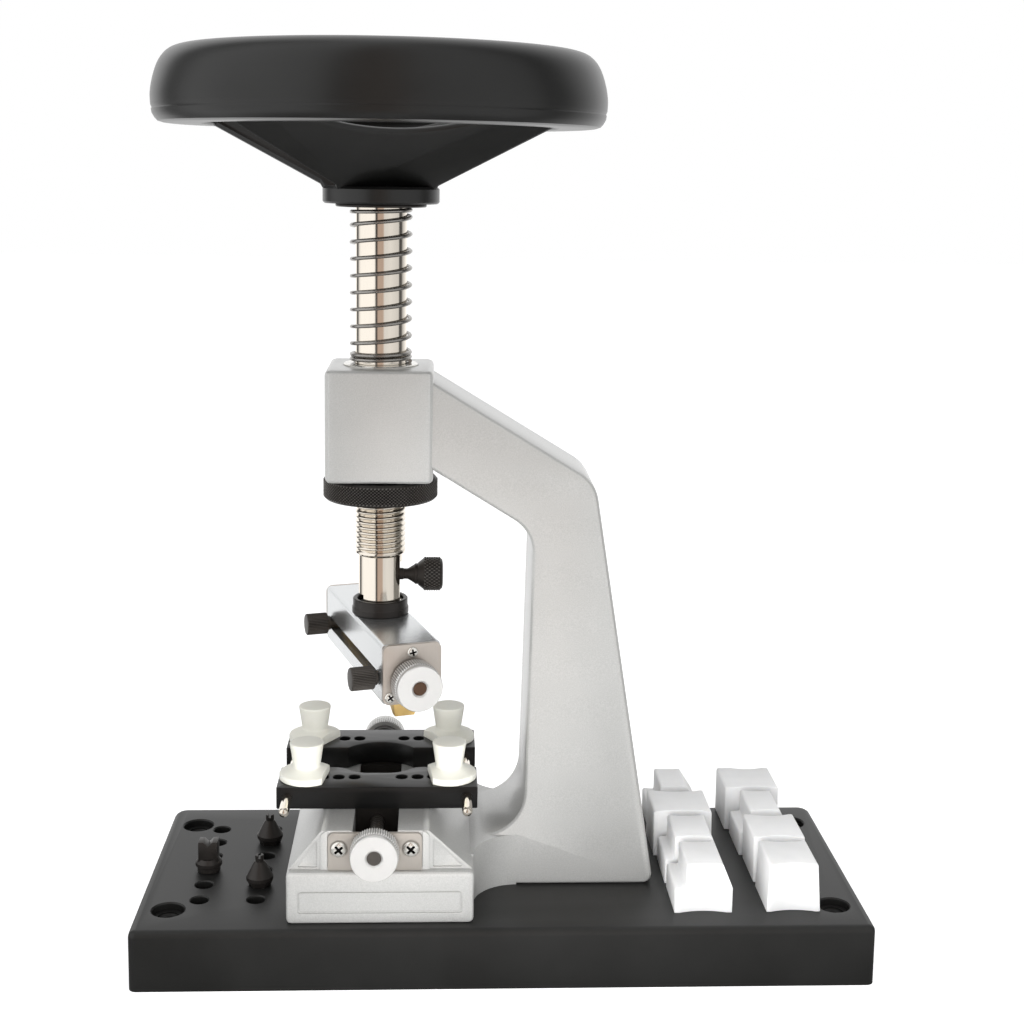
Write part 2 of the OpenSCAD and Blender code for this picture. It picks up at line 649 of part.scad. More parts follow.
module jaw_nut(side) {
    color(black_oxide) at_axis() translate([-channel_w / 2 + 0.1, side * (jaw_gap / 2 + jaw_d / 2) - 7, jaw_z - 11.6])
        difference() {
            cube([channel_w - 0.2, 14, 11.6]);
            translate([channel_w / 2 - 0.1, -1, vise_screw_z - jaw_z + 11.6])
                rotate([-90, 0, 0]) cylinder(d = 4.7, h = 16);
        }
}
module jaw_nut_front() { jaw_nut(-1); }
module jaw_nut_rear() { jaw_nut(1); }
module guide_rods() {
    // Fast in the rear jaw, and slide through the front jaw
    low = -(jaw_gap / 2 + jaw_d + 13);
    color(nickel) at_axis() for (s = [-1, 1]) translate([s * 29.6, 0, jaw_z + jaw_t / 2])
        rotate([-90, 0, 0]) {
            translate([0, 0, low + 1]) cylinder(d = 3.4, h = jaw_gap / 2 + jaw_d - 2 - low - 1);
            translate([0, 0, low]) cylinder(d1 = 2.2, d2 = 3.4, h = 1);
        }
}
module peg(sx, sy) {
    // A nylon holding peg: a stem in the jaw, a flat-sided disc and a waisted post
    place = [sx * (7.9 + 3 * peg_pitch), sy * (jaw_gap / 2 + jaw_d / 2), jaw_z + jaw_t];
    color(nylon) at_axis() translate(place) {
        translate([0, 0, -6.5]) cylinder(d = peg_hole_d - 0.1, h = 6.5 + eps);
        difference() {
            union() {
                cylinder(d = 18.3, h = 2.2);
                translate([0, 0, 2.2 - eps]) cylinder(d1 = 18.3, d2 = 9.6, h = 1.8);
            }
            rotate([0, 0, sx < 0 ? (sy < 0 ? -8 : -32) : (sy < 0 ? 188 : 212)])
                translate([6.4, -15, -1]) cube([10, 30, 8]);
        }
        translate([0, 0, 4 - 2 * eps]) cylinder(d1 = 9.1, d2 = 11.5, h = 8.5);
    }
}
module peg_front_left() { peg(-1, -1); }
module peg_front_right() { peg(1, -1); }
module peg_rear_left() { peg(-1, 1); }
module peg_rear_right() { peg(1, 1); }

// ---- Dies and case blocks on the base

module die_place(x, row) { translate([x, die_row_first + row * die_row_pitch, base_t]) children(); }
module die_stem() { translate([0, 0, -10]) cylinder(d = die_hole_d - 0.1, h = 10 + eps); }
module die_pin() {
    color(black_oxide) {
        die_stem();
        cylinder(d1 = 6, d2 = 8.6, h = 2);
        translate([0, 0, 2 - eps]) cylinder(d = 9.1, h = 1.4);
        translate([0, 0, 3.4 - eps]) cylinder(d1 = 9.1, d2 = 3.2, h = 5);
        translate([0, 0, 8.4 - eps]) cylinder(d = 2.9, h = 2.2);
    }
}
module die_pin_front() { die_place(die_column_b, 1) die_pin(); }
module die_pin_rear() { die_place(die_column_b, 4) die_pin(); }
module die_fork() {
    color(black_oxide) die_place(die_column_a, 2) {
        die_stem();
        cylinder(d = 7.8, h = 2);
        translate([0, 0, 2 - eps]) cylinder(d = 9.1, h = 1.6);
        translate([0, 0, 3.6 - eps]) cylinder(d1 = 9.1, d2 = 7, h = 1.2);
        difference() {
            translate([-3.3, -2.6, 4]) cube([6.6, 5.2, 7]);
            translate([0, 3, 11.6]) rotate([90, 0, 0]) cylinder(d = 3.4, h = 6);
        }
    }
}
// A case block: an outline seen from the front, with hollow front and back
// faces of the block's own radius; all blocks are as tall as each other
block_h = 16.5;
step_h = 8.5;
module case_block(x, row, outline, hollow) {
    color(nylon) translate([x, block_row_first + row * block_row_pitch, base_t]) difference() {
        along_y(0, block_d) polygon(outline);
        translate([0, 1.3 - hollow, -1]) cylinder(r = hollow, h = block_h + 2, $fn = 96);
        translate([0, block_d - 1.3 + hollow, -1]) cylinder(r = hollow, h = block_h + 2, $fn = 96);
    }
}
// Stepped on the left, sloping on the right
function stepped(left, top_left, top_right, right) = [[left, 0], [right, 0], [right, step_h],
    [top_right, block_h], [top_left, block_h], [top_left, step_h], [left, step_h]];
// Full height, with sides that lean in a little
function full(left, top_left, top_right, right) =
    [[left, 0], [right, 0], [top_right, block_h], [top_left, block_h]];
module block_a1() { case_block(block_column_a, 0, stepped(-9.5, -5.7, 6.2, 9.5), 24); }
module block_a2() { case_block(block_column_a, 1, stepped(-9.6, -6.4, 6.2, 9.5), 20); }
module block_a3() { case_block(block_column_a, 2, full(-10.6, -10.8, 9.8, 10.1), 34); }
module block_a4() { case_block(block_column_a, 3, stepped(-9.4, -5.3, 4.2, 9.2), 28); }
module block_b1() { case_block(block_column_b, 0, full(-8.9, -8.2, 7.8, 9), 22); }
module block_b2() { case_block(block_column_b, 1, full(-9, -9.4, 8.3, 8.8), 18); }
module block_b3() { case_block(block_column_b, 2, stepped(-9.8, -6.3, 4.4, 8.6), 15); }
module block_b4() { case_block(block_column_b, 3, full(-11.2, -11.2, 8.4, 8.8), 13); }

base_plate();
frame_casting();
base_screws();
spindle_bush();
vise_plate_front();
vise_plate_rear();
vise_plate_screws();
return_spring();
spring_washer();
spindle_shaft();
handwheel();
wheel_cap();
wheel_bolt();
stop_ring();
thumb_screw();
tool_shank();
tool_body();
tool_plate_front();
tool_plate_rear();
tool_plate_screws();
tool_screw();
tool_knob();
brass_jaw_front();
brass_jaw_rear();
lock_knob_front();
lock_knob_rear();
vise_screw();
vise_knob_front();
vise_knob_rear();
vise_collar_rear();
vise_jaw_front();
vise_jaw_rear();
jaw_nut_front();
jaw_nut_rear();
guide_rods();
peg_front_left();
peg_front_right();
peg_rear_left();
peg_rear_right();
die_fork();
die_pin_front();
die_pin_rear();
block_a1();
block_a2();
block_a3();
block_a4();
block_b1();
block_b2();
block_b3();
block_b4();
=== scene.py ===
import math

import bpy
from mathutils import Matrix, Vector


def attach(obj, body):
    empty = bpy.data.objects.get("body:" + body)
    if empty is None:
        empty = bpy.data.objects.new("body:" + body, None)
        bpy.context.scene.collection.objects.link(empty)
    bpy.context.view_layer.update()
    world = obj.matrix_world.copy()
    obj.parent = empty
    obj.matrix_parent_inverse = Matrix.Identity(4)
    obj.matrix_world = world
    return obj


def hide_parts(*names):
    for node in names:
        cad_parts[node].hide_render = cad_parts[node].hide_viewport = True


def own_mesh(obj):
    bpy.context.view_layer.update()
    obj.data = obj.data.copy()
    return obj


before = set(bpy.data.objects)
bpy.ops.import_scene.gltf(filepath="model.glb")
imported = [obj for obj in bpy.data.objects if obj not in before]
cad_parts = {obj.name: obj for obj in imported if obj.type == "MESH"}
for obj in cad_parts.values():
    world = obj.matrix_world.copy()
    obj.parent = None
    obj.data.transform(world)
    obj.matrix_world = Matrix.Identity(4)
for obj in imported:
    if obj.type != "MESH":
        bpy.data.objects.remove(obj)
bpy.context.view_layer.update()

mm = 0.001
axisX, axisY = -42, 3  # the spindle stands here, in millimetres
baseTop = 20
spindleRadius = 8.6
spindleBore = spindleRadius + 0.05
weldGap = 0.002
bandGap = 0.03


# Handling pieces
def deselectAll():
    if bpy.context.object and bpy.context.object.mode != "OBJECT":
        bpy.ops.object.mode_set(mode="OBJECT")
    bpy.ops.object.select_all(action="DESELECT")


def makeActive(piece):
    deselectAll()
    piece.select_set(True)
    bpy.context.view_layer.objects.active = piece


def startEdit(piece):
    makeActive(piece)
    bpy.ops.object.mode_set(mode="EDIT")
    bpy.ops.mesh.select_all(action="SELECT")


def bakePlace(piece):
    makeActive(piece)
    bpy.ops.object.transform_apply(location=True, rotation=True, scale=True)
    return piece


def place(piece, spot, towards=None):
    # the piece's own Z turns towards a direction, and its middle goes to the spot
    turn = Vector(towards).to_track_quat("Z", "Y").to_matrix().to_4x4() if towards else Matrix()
    piece.matrix_world = Matrix.Translation(Vector(spot) * mm) @ turn
    return bakePlace(piece)


def atAxis(piece, height=0):
    return place(piece, (axisX, axisY, height))


def swung(piece, degrees):
    piece.rotation_euler.z = math.radians(degrees)
    return bakePlace(piece)


def cleanUp(piece):
    startEdit(piece)
    bpy.ops.mesh.remove_doubles(threshold=weldGap * mm)
    bpy.ops.mesh.delete_loose(use_verts=True, use_edges=True, use_faces=False)
    bpy.ops.mesh.select_all(action="SELECT")
    bpy.ops.mesh.normals_make_consistent(inside=False)
    bpy.ops.object.mode_set(mode="OBJECT")
    return piece


def loopOf(points):
    # a circle with one vertex for each point of the loop
    deselectAll()
    bpy.ops.mesh.primitive_circle_add(vertices=len(points), radius=mm, location=(0, 0, 0))
    piece = bpy.context.object
    for vertex, point in zip(piece.data.vertices, points):
        vertex.co = Vector(point) * mm
    return piece


def turned(profile, steps=64):
    # a profile of (radius, height) spun round Z; on the axis the radius is 0
    piece = loopOf([(radius, 0, height) for radius, height in profile])
    startEdit(piece)
    bpy.ops.mesh.spin(steps=steps, angle=math.tau, center=(0, 0, 0), axis=(0, 0, 1))
    return cleanUp(piece)


def plug(radius, low, high, steps=28):
    return turned([(0, low), (radius, low), (radius, high), (0, high)], steps)


layings = {
    "z": lambda u, v, w: (u, v, w),
    "y": lambda u, v, w: (u, w, v),
    "x": lambda u, v, w: (w, u, v),
}


def slab(outline, low, high, along="z"):
    # an outline extruded along one axis
    lay = layings[along]
    piece = loopOf([lay(u, v, low) for u, v in outline])
    startEdit(piece)
    bpy.ops.mesh.edge_face_add()
    bpy.ops.mesh.extrude_region_move(
        TRANSFORM_OT_translate={"value": Vector(lay(0, 0, high - low)) * mm})
    return cleanUp(piece)


def bar(left, right, near, far, low, high, along="z"):
    return slab([(left, near), (right, near), (right, far), (left, far)], low, high, along)


def roundedOutline(corners, steps=6):
    # a corner is (u, v), or (u, v, radius) where it is round
    points = []
    for i, (u, v, *rest) in enumerate(corners):
        if not rest:
            points.append((u, v))
            continue
        here, radius = Vector((u, v)), rest[0]
        before = (Vector(corners[i - 1][:2]) - here).normalized()
        after = (Vector(corners[(i + 1) % len(corners)][:2]) - here).normalized()
        half = math.acos(max(-1, min(1, before.dot(after)))) / 2
        centre = here + (before + after).normalized() * radius / math.sin(half)
        first = here + before * radius / math.tan(half) - centre
        last = here + after * radius / math.tan(half) - centre
        start = math.atan2(first.y, first.x)
        sweep = (math.atan2(last.y, last.x) - start + math.pi) % math.tau - math.pi
        for k in range(steps + 1):
            angle = start + sweep * k / steps
            points.append((centre.x + radius * math.cos(angle),
                           centre.y + radius * math.sin(angle)))
    return points


def boxOutline(width, height, radius, middle=(0, 0), steps=5):
    u, v = middle
    return roundedOutline([(u + a * width / 2, v + b * height / 2, radius)
                           for a, b in ((-1, -1), (1, -1), (1, 1), (-1, 1))], steps)


def throughPoints(points, parts):
    # a smooth line through the points
    ends = [points[0]] + list(points) + [points[-1]]
    line = []
    for i in range(1, len(ends) - 2):
        a, b, c, d = (Vector(ends[i + k]) for k in (-1, 0, 1, 2))
        for k in range(parts):
            t = k / parts
            line.append(tuple(0.5 * (2 * b + (c - a) * t + (2 * a - 5 * b + 4 * c - d) * t * t
                                     + (3 * b - a - 3 * c + d) * t * t * t)))
    return line + [tuple(points[-1])]


def rows(radius, low, high, count):
    return [(radius, low + (high - low) * k / count) for k in range(count + 1)]


def modified(piece, kind, **settings):
    makeActive(piece)
    modifier = piece.modifiers.new(kind.lower(), kind)
    for key, value in settings.items():
        setattr(modifier, key, value)
    bpy.ops.object.modifier_apply(modifier=modifier.name)
    return piece


def roundEdges(piece, width, segments=2, angle=50):
    return modified(piece, "BEVEL", width=width * mm, segments=segments,
                    limit_method="ANGLE", angle_limit=math.radians(angle))


def combine(piece, others, operation="DIFFERENCE"):
    for other in others:
        modified(piece, "BOOLEAN", operation=operation, solver="EXACT", object=other)
        bpy.data.objects.remove(other, do_unlink=True)
    return piece


def joined(pieces):
    deselectAll()
    for piece in pieces:
        piece.select_set(True)
    bpy.context.view_layer.objects.active = pieces[0]
    bpy.ops.object.join()
    return pieces[0]


def repeated(piece, spots):
    # one copy of the piece at each spot, in one object
    twins = []
    for spot in spots[1:]:
        makeActive(piece)
        bpy.ops.object.duplicate()
        bpy.context.object.location = Vector(spot) * mm
        twins.append(bakePlace(bpy.context.object))
    piece.location = Vector(spots[0]) * mm
    return joined([bakePlace(piece)] + twins)


def marks(piece):
    # one number at each vertex: 1 in a hollow, which gets a painted shade, -1 on a tip, which gets
    # a painted highlight
    return piece.data.attributes.get("mark") or piece.data.attributes.new("mark", "FLOAT", "POINT")


def onBand(piece, radius, low, high):
    # the vertices of a turned band, with their share of a turn and their height
    for vertex in piece.data.vertices:
        x, y, z = vertex.co / mm
        if low < z < high and abs(math.hypot(x, y) - radius) < bandGap:
            yield vertex, math.atan2(y, x) / math.tau, z


def sink(vertex, depth, radius):
    vertex.co.x *= 1 - depth / radius
    vertex.co.y *= 1 - depth / radius


def straightKnurl(piece, radius, low, high, teeth, depth, crossings=0):
    # the piece was turned in twice as many steps as it has teeth
    # hollows are marked for a painted shade and tips for a painted highlight
    cells = marks(piece).data
    for vertex, turn, z in onBand(piece, radius, low - 0.01, high + 0.01):
        row = round((z - low) / (high - low) * crossings)
        hollow = (round(turn * 2 * teeth) + row) % 2
        cells[vertex.index].value = 1 if hollow else -1
        if hollow:
            sink(vertex, depth, radius)
    return piece


def diamondKnurl(piece, radius, low, high, crossings, teeth, depth):
    straightKnurl(piece, radius, low, high, teeth, depth, crossings)
    makeActive(piece)
    bpy.ops.object.mode_set(mode="EDIT")
    bpy.ops.mesh.select_mode(type="FACE")
    bpy.ops.mesh.select_all(action="DESELECT")
    bpy.ops.object.mode_set(mode="OBJECT")
    for face in piece.data.polygons:
        reach, height = face.center.xy.length / mm, face.center.z / mm
        face.select = low < height < high and reach > radius - depth - 0.1
    bpy.ops.object.mode_set(mode="EDIT")
    bpy.ops.mesh.poke()
    bpy.ops.mesh.select_mode(type="VERT")
    bpy.ops.object.mode_set(mode="OBJECT")
    return piece


def threaded(piece, radius, low, high, pitch, depth):
    for vertex, turn, z in onBand(piece, radius, low, high):
        wave = 0.5 - 0.5 * math.cos(math.tau * (z / pitch - turn))
        fade = min(1, (z - low) / pitch, (high - z) / pitch)
        sink(vertex, depth * (1 - wave ** 0.6) * fade, radius)
    return piece


def crossScrew(radius, height, shank, length, roll):
    # a pan head with a crossed recess, its seat at height 0
    piece = turned([(0, -length), (shank - 0.3, -length), (shank, 0.3 - length), (shank, 0),
                    (radius, 0), (radius, height * 0.3), (radius * 0.95, height * 0.6),
                    (radius * 0.8, height * 0.88), (radius * 0.55, height), (0, height)], 40)
    for turn in (roll, roll + 90):
        arm = boxOutline(radius * 1.3, radius * 0.34, radius * 0.1, steps=3)
        combine(piece, [swung(slab(arm, height * 0.05, height + 1), turn)])
    # the floor of the crossed recess is marked for a painted shade
    for vertex, cell in zip(piece.data.vertices, marks(piece).data):
        x, y, z = vertex.co / mm
        if height * 0.02 < z < height * 0.1 and math.hypot(x, y) < radius * 0.8:
            cell.value = 1
    return piece


def deliver(piece, name, body, finish, node=None, smooth=30):
    # the CAD node has the piece's name in small letters with underscores, or else its own
    makeActive(piece)
    piece.name = piece.data.name = name
    bpy.ops.object.shade_smooth_by_angle(angle=math.radians(smooth))
    piece.data.materials.clear()
    piece.data.materials.append(finish.material)
    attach(piece, body)
    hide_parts(node or "".join("_" + c.lower() if c.isupper() else c for c in name))


# Finishes: a Feed is a socket that takes part in sums
class Feed:
    def __init__(self, finish, socket):
        self.finish = finish
        self.socket = socket

    def sums(self, operation, first, second):
        return self.finish.node("ShaderNodeMath", {"operation": operation}, [first, second])

    def __add__(self, other):
        return self.sums("ADD", self, other)

    def __radd__(self, other):
        return self.sums("ADD", other, self)

    def __sub__(self, other):
        return self.sums("SUBTRACT", self, other)

    def __rsub__(self, other):
        return self.sums("SUBTRACT", other, self)

    def __mul__(self, other):
        return self.sums("MULTIPLY", self, other)

    def __rmul__(self, other):
        return self.sums("MULTIPLY", other, self)

    def __truediv__(self, other):
        return self.sums("DIVIDE", self, other)

    def __pow__(self, other):
        return self.sums("POWER", self, other)


class Finish:
    def __init__(self, name, **values):
        self.material = bpy.data.materials.new(name)
        self.material.use_nodes = True
        self.tree = self.material.node_tree
        self.shader = self.tree.nodes["Principled BSDF"]
        for key, value in values.items():
            self.shader.inputs[key.replace("_", " ")].default_value = value

    def node(self, kind, settings=None, inputs=(), output=0):
        made = self.tree.nodes.new(kind)
        for key, value in (settings or {}).items():
            if key == "stops":
                ramp = made.color_ramp.elements
                while len(ramp) < len(value):
                    ramp.new(1)
                for stop, (position, level) in zip(ramp, value):
                    stop.position = position
                    stop.color = (level, level, level, 1)
            else:
                setattr(made, key, value)
        for key, value in inputs.items() if isinstance(inputs, dict) else enumerate(inputs):
            if isinstance(value, Feed):
                self.tree.links.new(value.socket, made.inputs[key])
            else:
                made.inputs[key].default_value = value
        return Feed(self, made.outputs[output])

    def feed(self, name, value):
        self.tree.links.new(value.socket, self.shader.inputs[name])
        return self

    def spot(self):
        return self.node("ShaderNodeTexCoord", output="Object")

    def stretched(self, scale, middle=(0, 0, 0)):
        # object coordinates counted from a middle and stretched along the axes
        return self.node("ShaderNodeMapping", {"vector_type": "POINT"},
                         {"Vector": self.spot(), "Scale": scale,
                          "Location": [-m * mm * s for m, s in zip(middle, scale)]})

    def noise(self, size, detail=2, vector=None):
        # size is that of the coarsest grain, in millimetres
        return self.node("ShaderNodeTexNoise", {}, {
            "Vector": vector or self.spot(), "Scale": 1 / (size * mm), "Detail": detail})

    def ramp(self, value, *stops):
        return self.node("ShaderNodeValToRGB", {"stops": stops}, [value])

    def mixed(self, factor, first, second):
        return self.node("ShaderNodeMix", {"data_type": "RGBA"},
                         {0: factor, 6: first, 7: second}, 2)

    def screens(self, across, along, v):
        # bright screens stand left and right; between them the room and the gaps are dark
        bearing = self.node("ShaderNodeMath", {"operation": "ARCTAN2"}, [across, 0 - along])
        bearing = bearing / math.tau + 0.5
        tint = self.mixed(self.ramp(bearing, *v["warm"]), (1, 1, 1, 1), v["warmColour"])
        return self.ramp(bearing, *v["screens"]) * v["gain"], tint

    def paintedShadeAndHighlight(self, colour, hollow, tip):
        # painted shade in hollows and a painted highlight on tips, chosen by the vertex number
        mark = self.node("ShaderNodeAttribute", {"attribute_name": "mark"}, output="Fac")
        return self.mixed(0 - mark, self.mixed(mark, colour, hollow), tip)

    def bump(self, height, distance):
        # distance in millimetres
        return self.feed("Normal", self.node("ShaderNodeBump", {}, {
            "Height": height, "Distance": distance * mm}))


def shade(red, green, blue):
    # a colour given as it looks on the screen, 0 to 255
    return tuple(((c / 255 + 0.055) / 1.055) ** 2.4 for c in (red, green, blue)) + (1,)


def dimmed(colour, share):
    return tuple(min(1, c * share) for c in colour[:3]) + (1,)


def makePaint(name, colour, roughness, metallic, coat, grain=0.35, depth=0.02, spread=0.12):
    # sprayed silver: fine flakes, a soft orange peel and slightly uneven tone
    made = Finish(name, Metallic=metallic, Roughness=roughness,
                  Coat_Weight=coat, Coat_Roughness=0.16)
    flakes = made.noise(grain, 3)
    cloud = made.noise(28)
    tone = made.ramp(flakes * 0.75 + cloud * 0.25, (0.3, 0), (0.7, 1))
    made.feed("Base Color", made.mixed(tone, dimmed(colour, 1 - spread),
                                       dimmed(colour, 1 + spread)))
    made.feed("Roughness", roughness - 0.06 + made.noise(grain * 1.7) * 0.12)
    return made.bump(flakes * 0.5 + made.noise(2.4) * 1.6, depth)


def makeMoulded(name, colour, roughness, grain, depth, gloss=0.35, fading=0.006):
    # moulded or anodised surface: a fine grain and faint, wide changes of gloss
    made = Finish(name, Roughness=roughness, Specular_IOR_Level=gloss)
    fine = made.noise(grain)
    wide = made.noise(40, 3)
    light = tuple(c + fading for c in colour[:3]) + (1,)
    made.feed("Base Color", made.mixed(made.ramp(wide, (0.35, 0), (0.75, 1)), colour, light))
    made.feed("Roughness", roughness - 0.05 + wide * 0.06 + fine * 0.05)
    return made.bump(fine, depth)


def makeMetal(name, colour, roughness, stretch=(1, 1, 1), grain=0.4, depth=0.004, spread=0.06,
              patina=18, metallic=0.8, hollow=None, tip=None):
    # bare or plated metal; the stretch draws the grain out into brush marks
    made = Finish(name, Metallic=metallic, Roughness=roughness)
    brushed = made.noise(grain, 2, made.stretched(stretch))
    cloud = made.noise(patina, 3)
    tone = made.mixed(brushed * 0.5 + cloud * 0.5, dimmed(colour, 1 - spread),
                      dimmed(colour, 1 + spread))
    # where a hollow colour is given, hollows get it as painted shade and tips get the tip colour
    # as a painted highlight
    made.feed("Base Color", made.paintedShadeAndHighlight(tone, hollow, tip or tone) if hollow else tone)
    made.feed("Roughness", roughness - 0.05 + cloud * 0.05 + brushed * 0.06)
    return made.bump(brushed, depth)


# the hollow colour is a painted shade in the knurl grooves of the hand knobs
knobAlloyValues = {"colour": shade(209, 208, 206), "hollow": shade(96, 95, 92), "metallic": 0.55,
                   "roughness": 0.34, "ringPitch": 0.22, "depth": 0.006}


def makeKnobAlloy(name, across, middle, v=knobAlloyValues):
    # fine rings left by the lathe, counted across an axis through the middle
    made = Finish(name, Metallic=v["metallic"], Roughness=v["roughness"])
    reach = made.node("ShaderNodeVectorMath", {"operation": "LENGTH"},
                      [made.stretched(across, middle)], "Value")
    rings = made.node("ShaderNodeMath", {"operation": "SINE"},
                      [reach * (math.tau / (v["ringPitch"] * mm))])
    cloud = made.noise(3.5, 3)
    tone = made.mixed(cloud, dimmed(v["colour"], 0.93), v["colour"])
    # knurl grooves get the hollow colour as a painted shade
    made.feed("Base Color", made.paintedShadeAndHighlight(tone, v["hollow"], v["colour"]))
    made.feed("Roughness", v["roughness"] - 0.04 + cloud * 0.08)
    return made.bump(rings * 0.5 + made.noise(0.4) * 0.8, v["depth"])


def makeNylon(name, colour, shadow):
    made = Finish(name, Roughness=0.5, Subsurface_Weight=0.12, Subsurface_Scale=0.002,
                  Subsurface_Radius=(1, 0.9, 0.75))
    cloud = made.noise(9, 3)
    fine = made.noise(0.5)
    made.feed("Base Color", made.mixed(made.ramp(cloud, (0.3, 0), (0.7, 1)), shadow, colour))
    made.feed("Roughness", 0.42 + fine * 0.14)
    return made.bump(fine * 0.6 + cloud * 1.5, 0.02)


silverPaint = makePaint("silverPaint", shade(178, 178, 176), 0.36, 0.35, 0.4)
basePlastic = makeMoulded("basePlastic", shade(21, 21, 20), 0.42, 0.35, 0.02)
wheelPlastic = makeMoulded("wheelPlastic", shade(14, 14, 13), 0.33, 0.4, 0.006, gloss=0.42)
jawAnodised = makeMoulded("jawAnodised", shade(11, 11, 11), 0.32, 0.25, 0.008)
nickelPlate = makeMetal("nickelPlate", shade(226, 218, 206), 0.09, (1, 1, 0.06), grain=0.5,
                        depth=0.002, metallic=1)
springSteel = makeMetal("springSteel", shade(150, 147, 143), 0.26, grain=0.6, metallic=1)
endPlateSteel = makeMetal("endPlateSteel", shade(186, 178, 170), 0.34, (1, 1, 0.12), grain=0.35,
                          depth=0.006, spread=0.1)
visePlateSteel = makeMetal("visePlateSteel", shade(166, 160, 153), 0.36, (1, 1, 0.12), grain=0.35,
                           depth=0.006, spread=0.08, metallic=0.5)
bodyAlloy = makeMetal("bodyAlloy", shade(206, 208, 209), 0.25, grain=0.3, depth=0.006,
                      spread=0.05, patina=14, metallic=0.9)
# brightScrew: the hollow colour is a painted shade in the crossed recesses of the pan-head screws
brightScrew = makeMetal("brightScrew", shade(222, 220, 214), 0.22, hollow=shade(22, 21, 20))
# blackOxide and knobGrey: the hollow colour is a painted shade in knurl hollows, the tip colour a
# painted highlight on knurl tips
blackOxide = makeMetal("blackOxide", shade(46, 43, 41), 0.38, grain=0.3, depth=0.01, spread=0.2,
                       patina=8, metallic=0.55, hollow=shade(16, 15, 14), tip=shade(104, 101, 97))
knobGrey = makeMetal("knobGrey", shade(70, 66, 62), 0.42, grain=0.3, depth=0.008, spread=0.15,
                     patina=6, metallic=0.6, hollow=shade(34, 31, 29), tip=shade(92, 88, 84))
brownScrew = makeMetal("brownScrew", shade(92, 70, 56), 0.38, depth=0.01, spread=0.25, patina=2)
greyScrew = makeMetal("greyScrew", shade(92, 88, 84), 0.34, depth=0.01, spread=0.2, patina=4)
brassBar = makeMetal("brassBar", shade(232, 196, 126), 0.3, (1, 1, 0.2), grain=0.5, spread=0.07,
                     metallic=0.7)
pegNylon = makeNylon("pegNylon", shade(240, 239, 230), shade(232, 231, 220))
blockNylon = makeNylon("blockNylon", shade(244, 244, 244), shade(238, 238, 238))
print("finishes made")


# The moulded base
baseValues = {"width": 240, "depth": 100, "frontCorner": 2.6, "rearCorner": 4.6, "edge": 2.3,
              "benchX": 109.5, "benchY": 34, "benchHole": 2.6,
              "dieColumns": (-100.4, -81.8), "dieRow": -27, "diePitch": 11.4, "dieHole": 3}
screwSpots = [(axisX + x, axisY + y, 0) for y in (-32, 34) for x in (-24, 24)]


def dieSpot(column, row, height=0):
    v = baseValues
    return (v["dieColumns"][column], v["dieRow"] + row * v["diePitch"], height)


def makeBase(v):
    x, y = v["width"] / 2, v["depth"] / 2
    front, rear = v["frontCorner"], v["rearCorner"]
    plate = slab(roundedOutline([(-x, -y, front), (x, -y, front), (x, y, rear), (-x, y, rear)], 8),
                 -6, baseTop)
    roundEdges(plate, v["edge"], 4, 60)
    combine(plate, [bar(-x - 10, x + 10, -y - 10, y + 10, -9, 0)])  # the lower edge stays sharp
    hole = v["benchHole"]
    bench = turned([(0, -1), (hole, -1), (hole, 16.4), (3.5, 16.6), (3.7, 16.9), (3.7, 17.4),
                    (5.3, 17.4), (5.3, 19.5), (5.7, 20.01), (5.7, 21), (0, 21)], 48)
    bench = repeated(bench, [(side * v["benchX"], end * v["benchY"], 0)
                             for side in (-1, 1) for end in (-1, 1)])
    hole = v["dieHole"]
    die = turned([(0, 7.4), (hole, 8), (hole, 19.6), (3.35, 20.01), (3.35, 21), (0, 21)], 32)
    die = repeated(die, [dieSpot(column, row) for column in (0, 1) for row in range(6)])
    foot = turned([(0, -1), (4.8, -1), (4.8, 6), (2.6, 6), (2.6, 21), (0, 21)], 32)
    foot = repeated(foot, screwSpots)
    combine(plate, [joined([bench, die, foot])])
    deliver(plate, "mouldedBase", "stand", basePlastic, "base_plate")


makeBase(baseValues)
print("base made")


# The cast frame: vise bed, upright, arm and head block in one
castValues = {"bedWidth": 60.2, "blockHeight": 17.3, "railHeight": 30.2, "railWidth": 34,
              "channel": 14.5, "bedLength": 92, "headWidth": 35.4, "headDepth": 36,
              "headLow": 157.6, "headHeight": 37.4, "footDepth": 40.6, "armDepth": 32.6,
              "edge": 1.7, "blend": 15, "plateScrewX": 11.5, "plateScrewDrop": 5.5}
railTop = baseTop + castValues["railHeight"]
blockTop = baseTop + castValues["blockHeight"]
bedFront, bedRear = axisY - castValues["bedLength"] / 2, axisY + castValues["bedLength"] / 2
bedLeft = axisX - castValues["bedWidth"] / 2 + 1.7
bedRight = bedLeft + castValues["bedWidth"]
bedMiddle = (bedLeft + bedRight) / 2
blockFront = bedFront - 2
headTop = castValues["headLow"] + castValues["headHeight"]
plateScrewX = castValues["plateScrewX"]
plateScrewZ = railTop - castValues["plateScrewDrop"]

armValues = {"slope": 0.61, "lean": 0.16, "footX": 51.6, "innerX": 9, "webZ": 37.6,
             "topZ": 191.2, "lowZ": 162.1}


